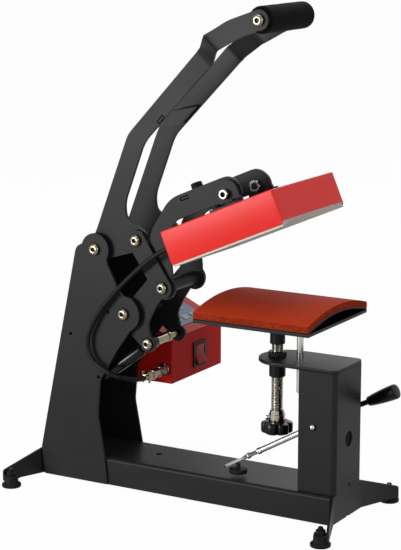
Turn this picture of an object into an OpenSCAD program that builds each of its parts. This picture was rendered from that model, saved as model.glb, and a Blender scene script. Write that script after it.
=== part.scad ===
// Cap heat press: a curved heated plate swings down on a curved, height-adjustable pad.
// X runs across the machine, Y from the front feet to the rear, and Z up from the floor.
// Left is the side of negative X, as the operator stands at the front of the machine.
// Everything is drawn in machine axes, and place() moves it to the middle of the footprint.

/* [Base frame] */
// Width of the base channel
channel_w = 83; // [76:0.5:92]
// Height of the channel's top above the floor
channel_top = 40; // [36:0.5:44]
// Gap between the sheet metal and the floor
ground_gap = 6; // [6:0.5:7.5]
// Thickness of the frame's sheet metal
sheet = 3; // [2.5:0.1:3.5]
// Distance from the middle plane to the feet
foot_x = 92; // [88:1:110]
// Distance between the front and the rear feet
foot_span = 428; // [420:1:440]
// Distance from the feet axis to the face of each leg bracket
bracket_y = 11; // [10.5:0.5:14]
// Angle at which the legs splay out
leg_splay = 21.5; // [20:0.5:24]
// Height of the legs at their tips
leg_tip_h = 14; // [12:0.5:18]
// Radius of the rubber feet
foot_r = 12; // [10:0.5:13]
// Height of the rubber feet
foot_h = 11; // [10.5:0.5:12]
// Radius of the foot bolts
foot_bolt_r = 3; // [2.5:0.1:3]

/* [Column] */
// Width of the column
column_w = 71; // [69:0.5:73]
// Depth of the column's side walls
column_d = 48; // [44:1:54]
// Height of the top plate's upper face
column_top = 188.5; // [184:0.5:192]
// Thickness of the top plate
top_plate_t = 4; // [3:0.5:5]
// Width of the top plate
top_plate_w = 70; // [60:1:70]
// Distance from the middle of the spindle to the top plate's rounded end
top_plate_rear = 20.5; // [14:0.5:24]
// Radius of the round hole in the column's face
column_hole_r = 9; // [6:0.5:12]

/* [Housing panels] */
// Gap between the side panels, outside the channel
panel_gap = 83; // [83:0.5:84]
// Thickness of the back panel
back_t = 2; // [1.5:0.1:3]
// Radius of the pivot lobes on the side panels
lobe_a_r = 19.5; // [17:0.5:21]
// Radius of the lower pivot lobes on the side panels
lobe_c_r = 22; // [19:0.5:23]

/* [Linkage] */
// Distance of the handle pivot behind the front feet
pivot_a_y = 332; // [331:0.5:333]
// Height of the handle pivot
pivot_a_z = 300.5; // [299.5:0.5:301.5]
// Distance of the upper link pivot behind the front feet
pivot_b_y = 275.5; // [275:0.5:276]
// Height of the upper link pivot
pivot_b_z = 316; // [315.5:0.5:316.5]
// Distance of the carrier pivot behind the front feet
pivot_c_y = 291.6; // [291:0.1:292]
// Height of the carrier pivot
pivot_c_z = 225; // [224.5:0.1:225.5]
// Distance of the lower link pivot behind the front feet
pivot_d_y = 239; // [238.5:0.1:239.5]
// Height of the lower link pivot
pivot_d_z = 262; // [261.5:0.1:262.5]
// Angle through which the carrier swings to close the press
carrier_close = 23.13; // [22.5:0.01:23.5]
// Thickness of the arms, the carrier plates and the links
arm_t = 4; // [3.5:0.1:4]
// Side clearance between plates that move past each other
side_gap = 0.3; // [0.25:0.05:0.4]
// Radius of the pivot bolts
bolt_r = 4; // [3.5:0.1:4.2]
// Radial running clearance on the pivot bolts
running_gap = 0.05; // [0.03:0.01:0.08]
// Radial clearance on the pins where the closed linkages are opened
open_gap = 1.8; // [1.7:0.05:2]
// Radius of the pivot bolt heads
head_r = 7; // [6.5:0.1:7.5]
// Width of the links
link_w = 25; // [24:0.5:26]

/* [Handle] */
// Distance of the grip behind the front feet
grip_y = 103; // [98:0.5:108]
// Height of the grip
grip_z = 583; // [579:0.5:587]
// Radius of the foam grip
grip_r = 15.7; // [13:0.1:17]
// Length of the grip between the arms
grip_len = 104; // [98:1:110]
// Radius of the tube inside the grip
grip_tube_r = 8; // [7:0.1:9]
// Width of the plate that joins the arms
cross_plate_w = 29; // [26:0.5:30]
// Radius of the arms' ends round the grip bolts
grip_lobe_r = 12; // [11:0.5:13]

/* [Heater] */
// Width of the heater cover
heater_w = 154; // [153.5:0.5:158]
// Distance of the closed heater's front wall behind the front feet
heater_front = 24; // [22:0.5:24.5]
// Length of the heater cover
heater_len = 158; // [156:0.5:160]
// Height of the closed heater cover's top
heater_top = 299.8; // [299:0.1:301]
// Height of the closed cover's side walls' lower edges
heater_side_z = 258.8; // [258:0.1:261]
// Height of the closed cover's end walls' lower edges
heater_end_z = 262.5; // [261.5:0.1:264]
// Thickness of the cover's sheet metal
cover_t = 1.2; // [1:0.1:1.5]
// Radius of the hollow underside of the heated plate
hot_r = 263.5; // [263:0.1:265]
// Height of the hollow underside's crest when closed
hot_crest = 267.2; // [266.8:0.1:268]
// Height of the heater pivot above the cover
lug_rise = 15.2; // [14.5:0.1:17]
// Radius of the tubular heating element
element_r = 4; // [3:0.1:4]

/* [Lower pad] */
// Width of the pad and its plate
pad_w = 152; // [148:0.5:152]
// Distance of the pad's front edge behind the front feet
pad_front = 26.5; // [26.5:0.5:30]
// Length of the pad and its plate
pad_len = 150; // [144:1:151]
// Height of the pad's crest
pad_crest = 258.5; // [257:0.1:258.5]
// Radius of the pad's upper surface
pad_r = 262; // [260:0.1:262]
// Thickness of the silicone pad
pad_t = 8; // [6:0.5:9]
// Thickness of the arched sheet under the pad
arch_t = 2; // [1.5:0.1:2.5]
// Height of the platen plate's underside
platen_z = 234.2; // [232:0.1:236]
// Thickness of the platen plate
platen_t = 4; // [3:0.5:4.5]
// Distance of the spindle behind the front feet
spindle_y = 105.5; // [104:0.5:107]
// Radius of the spindle
spindle_r = 7; // [6:0.5:7]
// Distance of the guide rod in front of the spindle
rod_offset = 29.9; // [28:0.1:31]
// Radius of the guide rod
rod_r = 4; // [3:0.5:5]
// Radius of the star knob
knob_r = 19; // [16:0.5:19]
// Height of the star knob's lower face
knob_z = 94.3; // [90:0.1:98]
// Number of lobes on the star knob
knob_lobes = 6; // [5:1:8]

/* [Hold-down lever] */
// Distance of the lever's shaft behind the front feet
lever_y = 40; // [38:0.5:42]
// Height of the lever's shaft
lever_z = 119; // [116:0.5:121]
// Offset of the rear arm from the middle plane
lever_arm_x = 24.5; // [24.5:0.1:25.5]
// Offset of the front grip from the middle plane
lever_grip_x = 45; // [44.5:0.5:52]
// Length of the rear arm from the shaft to its tip
lever_len = 141; // [136:1:144]
// Height of the rear arm above the channel at its pad
lever_lift = 20.16; // [19.5:0.01:21]
// Distance from the shaft to the end of the front grip
lever_reach = 76; // [70:0.5:84]
// Upward slope of the front grip
lever_rise = 26.2; // [24:0.1:30]
// Radius of the arm's tube
lever_tube_r = 4.7; // [4:0.1:4.8]
// Radius of the rubber pad under the arm
lever_pad_r = 11; // [8:0.5:12]

/* [Control box] */
// Width of the control box
box_w = 123.8; // [115:0.5:130]
// Distance of the box's front face behind the front feet
box_front = 278; // [276:0.5:282]
// Depth of the control box
box_d = 112; // [100:1:118]
// Height of the box's underside
box_z = 119.5; // [116:0.5:122]
// Height of the box's front face
box_front_h = 56.5; // [52:0.5:60]
// Slope of the box's lid
box_slope = 25; // [20:0.5:28]
// Width of the membrane panel on the lid
membrane_w = 88; // [80:1:96]
// Length of the membrane panel up the lid
membrane_l = 60; // [56:1:66]
// Width of the circuit board
board_w = 90; // [84:1:96]
// Depth of the circuit board
board_d = 56; // [50:1:60]
// Thickness of the box's sheet metal
box_t = 1.5; // [1:0.1:2]
// Distance of the switch from the box's left side
switch_x = 67; // [60:0.5:80]
// Height of the switch's middle above the box's underside
switch_z = 25.5; // [24:0.5:28]
// Width of the switch's bezel
switch_w = 30.2; // [28:0.1:32]
// Height of the switch's bezel
switch_h = 32.5; // [31:0.1:34]
// Angle through which the rocker tips
rocker_travel = 14; // [10:0.5:14]
// Distance of the heater socket behind the box's front face
socket_y = 11; // [10:0.5:14]
// Height of the heater socket above the box's underside
socket_z = 17.5; // [15:0.5:22]
// Radius of the heater cable
cable_r = 3; // [2.5:0.1:3]

/* [Gas spring] */
// Distance of the spring's upper pivot behind the front feet
pivot_e_y = 262.5; // [262:0.1:263]
// Height of the spring's upper pivot
pivot_e_z = 190; // [189:0.1:191]
// Distance of the spring's lower pivot behind the front feet
pivot_f_y = 388; // [386:0.1:389]
// Height of the spring's lower pivot
pivot_f_z = 98; // [97:0.1:100]
// Offset of the gas spring from the middle plane
spring_x = 26.5; // [25:0.1:27]
// Radius of the spring's cylinder
spring_r = 7.5; // [6.5:0.1:8]
// Radius of the spring's rod
spring_rod_r = 4; // [3:0.1:4.5]

/* [Hidden] */
$fn = 96;

// Fits and shared small sizes
fit = running_gap;
hole_r = bolt_r + fit;
head_h = 4.4;
nut_w = 13;
nut_h = 5;
lap = 1;

// The five pivots in the plane of Y and Z
pa = [pivot_a_y, pivot_a_z];
pb = [pivot_b_y, pivot_b_z];
pc = [pivot_c_y, pivot_c_z];
pd = [pivot_d_y, pivot_d_z];
pe = [pivot_e_y, pivot_e_z];
pf = [pivot_f_y, pivot_f_z];

// Layers from the outside in, as distances from the middle plane
panel_in = panel_gap / 2;
panel_out = panel_in + sheet;
link_out = panel_in - side_gap;
link_in = link_out - arm_t;
arm_out = link_in - 0.7;
arm_in = arm_out - arm_t;
nut_out = arm_in - side_gap;

// Frame places
front_face = bracket_y;
front_in = front_face + sheet;
rear_face = foot_span - bracket_y;
rear_in = rear_face - sheet;
leg_x0 = column_w / 2 + 1.5;
plate_z = column_top - top_plate_t;
foot_u = (foot_x - leg_x0) * cos(leg_splay) + bracket_y * sin(leg_splay);
foot_v = (foot_x - leg_x0) * sin(leg_splay) - bracket_y * cos(leg_splay);
leg_len = foot_u + 6.5;
tab_t = 3;
rod_y = spindle_y - rod_offset;

// The rear arm of the lever slopes down until its pad is at the stated height
pad_reach = lever_len - 21.5;
lever_slope = asin((lever_z - channel_top - lever_lift) / pad_reach);

// Heater places, with the press closed and the heater level
heater_mid = heater_front + heater_len / 2;
heater_rear = heater_front + heater_len;
lug_y = heater_mid - 0.5;
lug_z = heater_top + lug_rise;
hot_top = heater_top - 17.8;
foot_t = 3;
cross_y = heater_rear - 22;
cross_z = heater_top + 27.2;
cable_x = 52;
cable_z = heater_top - 20.3;
grommet_len = 3.8;

// Control box places
box_x0 = panel_out;
box_x1 = box_x0 + box_w;
box_rear = box_front + box_d;
lid_len = box_d / cos(box_slope);
sw_x = box_x0 + switch_x;
sw_z = box_z + switch_z;
so_y = box_front + socket_y;
so_z = box_z + socket_z;
plug_end = -3;
switch_body_w = switch_w - 3.7;
switch_body_h = switch_h - 4;

// Gas spring
spring_len = norm(pf - pe);
spring_angle = atan2(pf[1] - pe[1], pf[0] - pe[0]);
eye_w = 9;

// Heater cable, from the heater's rear wall to the plug, chosen by hand
cable_route = [[-52, 215.9, 316.6], [-52, 221.4, 314.2], [-52, 231, 309.5], [-52, 243, 302],
    [-52, 256, 292], [-52, 269, 281], [-52, 281, 270], [-52, 293, 258.5], [-52, 304, 246.5],
    [-52, 315, 234], [-52, 325, 220.5], [-52, 333, 206], [-52, 338.5, 191],
    [-52, 337.5, 176], [-52, 330, 163.5], [-52, 317.5, 155.5], [-50.5, 306, 150],
    [-43.5, 299, 145.5], [-32.5, 295.5, 141.5], [-21, 291.5, 138.5], [-10, 289, 137],
    [-3, 289, 137]];

// Middle of the footprint, which becomes the origin
grip_end_r = 5;
grip_tip_r = 8;
front_reach = lever_y - (lever_reach - grip_end_r) * cos(lever_rise)
    - (grip_tip_r - grip_end_r) * sin(lever_rise) - grip_end_r;
mid_x = (box_x1 - foot_x - foot_r) / 2;
mid_y = (foot_span + foot_r + front_reach) / 2;

// A point of the closed press, turned about the carrier pivot to where it is when open
function opened(p) = [
    pc[0] + (p[0] - pc[0]) * cos(carrier_close) + (p[1] - pc[1]) * sin(carrier_close),
    pc[1] - (p[0] - pc[0]) * sin(carrier_close) + (p[1] - pc[1]) * cos(carrier_close)];

// One corner of an outline, given in the closed press, with its radius
function closed_corner(y, z, r) = concat(opened([y, z]), [r]);

// A corner measured from a pivot
function from(p, dy, dz, r = 0) = [p[0] + dy, p[1] + dz, r];

// Points along a rounded corner b between the points a and c
function corner(a, b, c, r, n) =
    let (u = (a - b) / norm(a - b), w = (c - b) / norm(c - b), half = acos(u * w) / 2,
        m = b + (u + w) / norm(u + w) * r / sin(half), s = b + u * r / tan(half) - m,
        e = b + w * r / tan(half) - m, a0 = atan2(s[1], s[0]),
        turn = atan2(s[0] * e[1] - s[1] * e[0], s * e))
    [for (i = [0 : n]) m + r * [cos(a0 + turn * i / n), sin(a0 + turn * i / n)]];

// An outline from corners given as [y, z, radius]
function rounded(p, n = 8) = [
    for (i = [0 : len(p) - 1])
        let (k = len(p), a = p[(i + k - 1) % k], b = p[i], c = p[(i + 1) % k])
        each (b[2] > 0
            ? corner([a[0], a[1]], [b[0], b[1]], [c[0], c[1]], b[2], n)
            : [[b[0], b[1]]])];

// Outline points round a pivot, clockwise from the first angle to the second
function lobe(p, r, first, last) = [
    for (i = [0 : 16]) let (a = first + (last - first) * i / 16) from(p, r * cos(a), r * sin(a))];

// Places on the leaning back panel
function back_out(z) = rear_face - 2 - (z - 42) * 56 / 261;
function back_in(z) = back_out(z) - back_t;

module place() {
    translate([-mid_x, -mid_y, 0]) children();
}

// Extrudes an outline of Y and Z along X
module x_plate(x0, t) {
    translate([x0, 0, 0]) rotate([90, 0, 90]) linear_extrude(t) children();
}

// Extrudes an outline of X and Z along Y
module y_prism(y0, y1) {
    translate([0, y1, 0]) rotate([90, 0, 0]) linear_extrude(y1 - y0) children();
}

// A round bar along X through a point of Y and Z
module x_bar(p, r, x0, x1) {
    translate([x0, p[0], p[1]]) rotate([0, 90, 0]) cylinder(r = r, h = x1 - x0);
}

// A hexagonal nut along X with its bore
module x_nut(p, x0, h, w, r) {
    difference() {
        translate([x0, p[0], p[1]]) rotate([0, 90, 0]) cylinder(d = w / cos(30), h = h, $fn = 6);
        x_bar(p, r, x0 - lap, x0 + h + lap);
    }
}

// A button head along X that bulges towards negative X
module x_head(p, x0, r, h) {
    translate([x0, p[0], p[1]]) rotate([0, -90, 0]) rotate_extrude() difference() {
        polygon(rounded([[0, 0, 0], [r, 0, 0], [r, h, h * 0.6], [0, h, 0]]));
        translate([0, h - 2]) square([2.5, 3]);
    }
}

// Draws its children on the left and mirrored on the right
module both_sides() {
    children();
    mirror([1, 0, 0]) children();
}

// Turns a piece drawn in the closed press to where it is when open
module open_pose() {
    translate([0, pc[0], pc[1]]) rotate([-carrier_close, 0, 0]) translate([0, -pc[0], -pc[1]])
        children();
}

// The tab of one splayed leg, which stands on its foot, from the bend along X
module foot_tab() {
    difference() {
        translate([foot_u - 8, sheet / 2, foot_h])
            cube([leg_len - foot_u + 7, foot_v + 8 - sheet / 2, tab_t]);
        translate([foot_u, foot_v, 0]) cylinder(r = foot_bolt_r + fit, h = channel_top);
    }
}

// A bent bracket with two legs, whose outer face looks towards negative Y
module bracket(y) {
    bend = sheet * tan(leg_splay / 2);
    tip = [leg_x0 + leg_len * cos(leg_splay), -leg_len * sin(leg_splay)];
    wall = sheet * [sin(leg_splay), cos(leg_splay)];
    half = [[leg_x0, 0], tip, tip + wall, [leg_x0 + bend, sheet]];
    translate([0, y, 0]) {
        difference() {
            translate([0, 0, ground_gap]) linear_extrude(channel_top - ground_gap)
                polygon(concat(half, [for (i = [3 : -1 : 0]) [-half[i][0], half[i][1]]]));
            at_bends() translate([0, 2 * sheet, 0]) rotate([90, 0, 0])
                linear_extrude(3 * sheet) difference() {
                    translate([0, ground_gap]) square([leg_len + lap, channel_top]);
                    polygon(rounded([[-lap, 0, 0], [leg_len, 0, 0],
                        [leg_len, ground_gap + leg_tip_h, 4], [0, channel_top, 0],
                        [-lap, channel_top, 0]]));
                }
        }
        at_bends() foot_tab();
    }
}

// Draws its children along both legs of a bracket
module at_bends() {
    both_sides() translate([leg_x0, 0, 0]) rotate([0, 0, -leg_splay]) children();
}

// Draws its children at all four feet
module at_feet() {
    for (x = [-foot_x, foot_x], y = [0, foot_span]) translate([x, y, 0]) children();
}

module base_channel() {
    color("dimgray") difference() {
        y_prism(front_in, rear_in) difference() {
            polygon(rounded([[-channel_w / 2, ground_gap, 0], [-channel_w / 2, channel_top, 4],
                [channel_w / 2, channel_top, 4], [channel_w / 2, ground_gap, 0]]));
            polygon(rounded([[-channel_w / 2 + sheet, ground_gap - lap, 0],
                [-channel_w / 2 + sheet, channel_top - sheet, 1],
                [channel_w / 2 - sheet, channel_top - sheet, 1],
                [channel_w / 2 - sheet, ground_gap - lap, 0]]));
        }
        translate([4.7, pivot_c_y - 19, 0]) cylinder(d = 8, h = channel_top + lap);
    }
}

module column() {
    rear = front_face + column_d;
    color("dimgray") difference() {
        union() {
            translate([0, 0, channel_top]) linear_extrude(plate_z - channel_top) difference() {
                polygon(rounded([[-column_w / 2, rear, 0], [-column_w / 2, front_face, 6],
                    [column_w / 2, front_face, 6], [column_w / 2, rear, 0]]));
                polygon(rounded([[-column_w / 2 + sheet, rear + lap, 0],
                    [-column_w / 2 + sheet, front_in, 3], [column_w / 2 - sheet, front_in, 3],
                    [column_w / 2 - sheet, rear + lap, 0]]));
            }
            bracket(front_face);
        }
        x_bar([lever_y, lever_z], hole_r, -column_w, column_w);
        translate([0, front_face - lap, lever_z - 18.5]) rotate([-90, 0, 0])
            cylinder(r = column_hole_r, h = sheet + 2 * lap);
        translate([4, front_face - lap, channel_top + 4]) rotate([-90, 0, 0])
            cylinder(r = 1.8, h = sheet + 2 * lap);
        translate([-2, front_face - lap, ground_gap - lap]) cube([4, sheet + 2 * lap, 3.5]);
    }
}

module column_top_plate() {
    color("dimgray") translate([0, 0, plate_z]) linear_extrude(top_plate_t) difference() {
        union() {
            translate([-top_plate_w / 2, front_face])
                square([top_plate_w, spindle_y + top_plate_rear - top_plate_w / 2 - front_face]);
            translate([0, spindle_y + top_plate_rear - top_plate_w / 2])
                circle(d = top_plate_w);
        }
        translate([0, spindle_y]) circle(r = spindle_r + fit);
        translate([0, rod_y]) circle(r = rod_r + fit);
    }
}

module rear_bracket() {
    color("dimgray") translate([0, rear_face, 0]) mirror([0, 1, 0]) bracket(0);
}

// Outline of the side panels
module panel_outline() {
    difference() {
        union() {
            polygon(rounded([[rear_face - 6, ground_gap + 0.7, 2], [back_out(42), 42, 3],
                [back_out(pa[1]), pa[1] + 1, 12], from(pa, 8, 11.5), from(pa, -14, 2.5),
                from(pa, -17.5, -16.5, 10), from(pc, 6.4, 27, 10), from(pc, -6.6, 15),
                from(pc, -15.6, -11), from(pc, 10.4, -47.5, 20), from(pc, 24.4, -70.4, 20),
                from(pc, 35.4, -86, 12), from(pc, 39.4, -131, 30),
                [pc[0] + 29.4, channel_top, 20], [pc[0] + 25.9, ground_gap + 0.7, 0]]));
            translate(pa) circle(r = lobe_a_r);
            translate(pc) circle(r = lobe_c_r);
        }
        translate(pa) circle(r = hole_r);
        translate(pc) circle(r = hole_r);
        for (h = [[37, -108.5], [-3, -158.5], [-18, -75.5]])
            translate(pa + h) circle(r = 2);
    }
}

module side_panel_left() {
    color("dimgray") x_plate(-panel_out, sheet) panel_outline();
}

module side_panel_right() {
    color("dimgray") x_plate(panel_in, sheet) panel_outline();
}

module back_panel() {
    top = pa[1] - 5;
    color("dimgray") x_plate(-panel_in, 2 * panel_in)
        polygon([[back_out(channel_top) - 0.6, channel_top], [back_out(top) - 0.6, top],
            [back_in(top) - 0.6, top], [back_in(channel_top) - 0.6, channel_top]]);
}

// The feet's necks stand clear of the splayed legs
module rubber_feet() {
    neck = foot_v - sheet - 0.4;
    color("black") at_feet() rotate_extrude() difference() {
        polygon(rounded([[0, 0, 0], [foot_r, 0, 1], [foot_r, 4, 1], [neck + 0.1, ground_gap - 0.8, 0.5],
            [neck, foot_h, 0], [0, foot_h, 0]]));
        translate([0, foot_h - 6]) square([foot_bolt_r + fit, 7]);
    }
}

module foot_bolts() {
    color("black") at_feet() {
        translate([0, 0, foot_h - 5.9]) cylinder(r = foot_bolt_r, h = tab_t + 14.9);
        translate([0, 0, foot_h + tab_t]) difference() {
            cylinder(d = 10 / cos(30), h = 5.5, $fn = 6);
            translate([0, 0, -lap]) cylinder(r = foot_bolt_r + fit, h = 8);
        }
    }
}

module pivot_bushes() {
    color("silver") both_sides() for (p = [pa, pc]) difference() {
        x_bar(p, bolt_r + 4, -panel_in, side_gap - panel_in + arm_t + 0.4);
        x_bar(p, hole_r, -panel_out, 0);
    }
}

module pivot_bolts() {
    color("tan") both_sides() for (p = [pa, pc]) {
        x_bar(p, bolt_r, -panel_out - 1, nut_h + 1 - nut_out);
        x_head(p, -panel_out, head_r, head_h);
        x_nut(p, -nut_out, nut_h, nut_w, hole_r);
    }
}

module spindle_nut() {
    color("black") translate([0, spindle_y, plate_z - 22]) difference() {
        rotate_extrude() polygon(rounded([[0, 0, 0], [spindle_r + 2.8, 0, 2],
            [spindle_r + 2.8, 22, 0], [0, 22, 0]]));
        translate([0, 0, -lap]) cylinder(r = spindle_r + fit, h = 24);
    }
}

module lock_ring() {
    color("black") translate([0, spindle_y, column_top]) difference() {
        cylinder(r = spindle_r + 3.8, h = 5);
        translate([0, 0, -lap]) cylinder(r = spindle_r + fit, h = 7);
    }
}

module gas_spring_bracket() {
    half = eye_w / 2 + 0.5;
    color("dimgray") difference() {
        for (x = [-spring_x - half - 3, half - spring_x]) x_plate(x, 3) {
            translate(pf) circle(r = 9);
            polygon([[pf[0], pf[1] + 9], [back_in(pf[1] + 16) - 0.6, pf[1] + 16],
                [back_in(pf[1] - 16) - 0.6, pf[1] - 16], [pf[0], pf[1] - 9]]);
        }
        x_bar(pf, hole_r, -spring_x - 20, 20 - spring_x);
    }
    color("silver") x_bar(pf, bolt_r, -spring_x - half - 5, half + 5 - spring_x);
}

// Outline of the control box under its lid
module box_outline(inset) {
    polygon([[box_front + inset, box_z + inset],
        [box_front + inset, box_z + box_front_h + inset * tan(box_slope)],
        [box_rear - inset, box_z + box_front_h + (box_d - inset) * tan(box_slope)],
        [box_rear - inset, box_z + inset]]);
}

module control_box_shell() {
    color("firebrick") difference() {
        x_plate(box_x0, box_w) box_outline(0);
        x_plate(box_x0 + box_t, box_w - 2 * box_t) union() {
            box_outline(box_t);
            translate([0, 2]) box_outline(box_t);
        }
        translate([sw_x - switch_body_w / 2 - 0.2, box_front - lap,
            sw_z - switch_body_h / 2 - 0.2])
            cube([switch_body_w + 0.4, box_t + 2 * lap, switch_body_h + 0.4]);
        x_bar([so_y, so_z], 6 + fit, box_x0 - lap, box_x0 + box_t + lap);
        translate([box_x1 - 60, box_rear - box_t - lap, box_z + 12])
            cube([28, box_t + 2 * lap, 20]);
    }
}

// Places a child on the box's sloping lid, X across and Y up the slope
module on_lid() {
    translate([box_x0, box_front, box_z + box_front_h]) rotate([box_slope, 0, 0]) children();
}

module control_box_lid() {
    color("firebrick") on_lid() difference() {
        cube([box_w, lid_len, box_t]);
        for (x = [7, box_w - 7], y = [7, lid_len - 7])
            translate([x, y, -lap]) cylinder(r = 1.6, h = box_t + 2 * lap);
    }
}

module control_membrane() {
    margin = 14;
    window_w = membrane_w - 2 * margin;
    color("steelblue") on_lid() translate([17, margin, box_t]) {
        cube([membrane_w, membrane_l, 0.6]);
        for (i = [0 : 3]) translate([margin + window_w * i / 3, margin - 2, 0.5])
            cylinder(r = 5, h = 0.6);
        translate([margin, margin + 12, 0.5]) cube([window_w, membrane_l - margin - 22, 0.5]);
    }
}

module switch_housing() {
    depth = 18;
    color("black") difference() {
        union() {
            translate([sw_x - switch_w / 2, box_front - 2, sw_z - switch_h / 2])
                cube([switch_w, 2, switch_h]);
            translate([sw_x - switch_body_w / 2, box_front - lap, sw_z - switch_body_h / 2])
                cube([switch_body_w, depth + lap, switch_body_h]);
        }
        translate([sw_x - 11, box_front - 3, sw_z - 13.2]) cube([22, 14, 26.4]);
        x_bar([box_front + 2, sw_z], 1.5 + fit, sw_x - 12, sw_x + 12);
    }
}

module switch_rocker() {
    color("red") translate([0, box_front + 2, sw_z]) rotate([-rocker_travel / 2, 0, 0]) {
        x_plate(sw_x - 10.7, 21.4)
            polygon(concat([for (i = [-6 : 6]) [-4 - 2.4 * pow(i / 6, 2), 2 * i]],
                [[3, 9], [5, 0], [3, -9]]));
        x_bar([0, 0], 1.5, sw_x - 11.8, sw_x + 11.8);
    }
}

module mains_inlet() {
    color("black") translate([box_x1 - 60, box_rear, box_z + 12]) {
        difference() {
            union() {
                translate([-6, 0, -3]) cube([40, 2, 26]);
                translate([0.2, -16, 0.2]) cube([27.6, 16 + lap, 19.6]);
            }
            translate([2.5, -13, 2.5]) cube([23, 16, 15]);
        }
        for (x = [7, 14, 21]) translate([x - 1, -13.5, x == 14 ? 11 : 7]) cube([2, 8, 4]);
    }
}

module control_board() {
    post = 8;
    edge = 5;
    color("darkgreen") translate([box_x0 + 16, box_front + 32, box_z + box_t]) {
        translate([0, 0, post]) cube([board_w, board_d, 1.6]);
        for (x = [edge, board_w - edge], y = [edge, board_d - edge]) translate([x, y, 0])
            cylinder(r = 3, h = post + 0.5);
        translate([board_w * 0.1, board_d / 4, post + 1]) cube([board_w * 0.3, board_d / 2, 22]);
        translate([board_w * 0.55, board_d / 4, post + 1]) cube([board_w / 5, board_d * 0.3, 16]);
    }
}

module box_screws() {
    color("silver") on_lid() for (x = [7, box_w - 7], y = [7, lid_len - 7])
        translate([x, y, 0]) {
            translate([0, 0, box_t]) cylinder(r = 3.5, h = 1.8);
            translate([0, 0, 0.2]) cylinder(r = 1.5, h = box_t);
        }
}

module heater_socket() {
    color("silver") {
        x_bar([so_y, so_z], 8, box_x0 - 3, box_x0);
        x_bar([so_y, so_z], 6, box_x0 - 9, box_x0 + 8);
    }
}

module heater_plug() {
    color("silver") difference() {
        union() {
            x_bar([so_y, so_z], 6.6, box_x0 - 15, box_x0 - 3.2);
            x_bar([so_y, so_z], 5.8, 8, box_x0 - 14);
            x_bar([so_y, so_z], 6.6, 12, 16);
            x_bar([so_y, so_z], 5, plug_end, 9);
        }
        x_bar([so_y, so_z], 6 + fit, box_x0 - 9.2, box_x0);
    }
}

// Unit tangents and turned normals along the cable
function along(i) =
    let (n = len(cable_route) - 1, d = cable_route[min(i + 1, n)] - cable_route[max(i - 1, 0)])
    d / norm(d);
function across(i) =
    let (p = i == 0 ? [1, 0, 0] : across(i - 1), q = p - (p * along(i)) * along(i))
    q / norm(q);

module heater_cable() {
    sides = 8;
    n = len(cable_route);
    rings = [for (i = [0 : n - 1], k = [0 : sides - 1])
        let (a = across(i), b = cross(along(i), a), w = 360 * k / sides)
        cable_route[i] + cable_r * (cos(w) * a + sin(w) * b)];
    color("black") polyhedron(rings, concat(
        [[for (k = [0 : sides - 1]) k]],
        [[for (k = [0 : sides - 1]) n * sides - 1 - k]],
        [for (i = [0 : n - 2], k = [0 : sides - 1])
            let (a = i * sides + k, b = i * sides + (k + 1) % sides) [a, a + sides, b]],
        [for (i = [0 : n - 2], k = [0 : sides - 1])
            let (a = i * sides + k, b = i * sides + (k + 1) % sides)
            [b, a + sides, b + sides]]));
}

// Where the handle arms step outwards: rear edge, direction and width of the strip
jog_at = [pa[0] - 140.7, pa[1] + 245.6];
jog_angle = 133;
jog_len = 23.6;
jog_w = 24.5;
jog_ease = 0.4;
grip_in = grip_len / 2;
grip_out = grip_in + arm_t;
cross_at = [pa[0] - 80.5, pa[1] + 149.8];
cross_angle = 133.9;

// Point of Y and Z in the frame of the step, u along the arm and v to its front edge
function on_jog(u, v) = [jog_at[0] + u * cos(jog_angle) - v * sin(jog_angle),
    jog_at[1] + u * sin(jog_angle) + v * cos(jog_angle)];

// The lower part of a handle arm, in the layer of the carrier plates
module arm_lower() {
    polygon(rounded(concat(lobe(pb, 14, 268, 106), [from(pb, 16, 26, 10),
        from(pa, -38, 58, 40), from(pa, -66, 133, 50), concat(on_jog(0, jog_w), [0]),
        concat(on_jog(0, 0), [0]), from(pa, -43, 141, 40), from(pa, 2, 24, 30)],
        lobe(pa, 15, 60, -108))));
}

// The upper part of a handle arm, outside the grip's end
module arm_upper() {
    g = [grip_y, grip_z];
    polygon(rounded(concat([concat(on_jog(jog_len, 0), [0]), concat(on_jog(jog_len, jog_w), [0]),
        from(g, 24, -20, 60)], lobe(g, grip_lobe_r, 275, 78),
        [from(g, 40, -1.5, 60), from(g, 58, -12, 25)])));
}

module handle_arm() {
    thin = jog_ease / 4;
    difference() {
        union() {
            x_plate(-arm_out, arm_t) arm_lower();
            translate([0, jog_at[0], jog_at[1]]) rotate([jog_angle, 0, 0])
                translate([0, 0, jog_ease]) linear_extrude(jog_w - 2 * jog_ease)
                    polygon([[thin - arm_out, -2 * jog_ease], [thin - arm_out, 0],
                        [thin - grip_out, jog_len], [thin - grip_out, jog_len + 2 * jog_ease],
                        [-grip_in - thin, jog_len + 2 * jog_ease], [-grip_in - thin, jog_len],
                        [-arm_in - thin, 0], [-arm_in - thin, -2 * jog_ease]]);
            x_plate(-grip_out, arm_t) arm_upper();
        }
        for (p = [pa, pb, [grip_y, grip_z]]) x_bar(p, hole_r, -2 * grip_out, 0);
        on_handle_plate() translate([-arm_out - lap, (cross_plate_w - 10.2) / 2, -3.55])
            cube([arm_t + 2 * lap, 10.2, 3.1]);
    }
}

// Frame of the handle's cross plate, Y along the arms and Z to their front edges
module on_handle_plate() {
    translate([0, cross_at[0], cross_at[1]]) rotate([cross_angle, 0, 0]) children();
}

module handle_arm_left() {
    color("dimgray") handle_arm();
}

module handle_arm_right() {
    color("dimgray") mirror([1, 0, 0]) handle_arm();
}

module handle_cross_plate() {
    color("dimgray") on_handle_plate() translate([0, 0, -3.5]) {
        translate([-arm_in, 0, 0]) cube([2 * arm_in, cross_plate_w, 3]);
        translate([-arm_out, (cross_plate_w - 10) / 2, 0]) cube([2 * arm_out, 10, 3]);
    }
}

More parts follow.
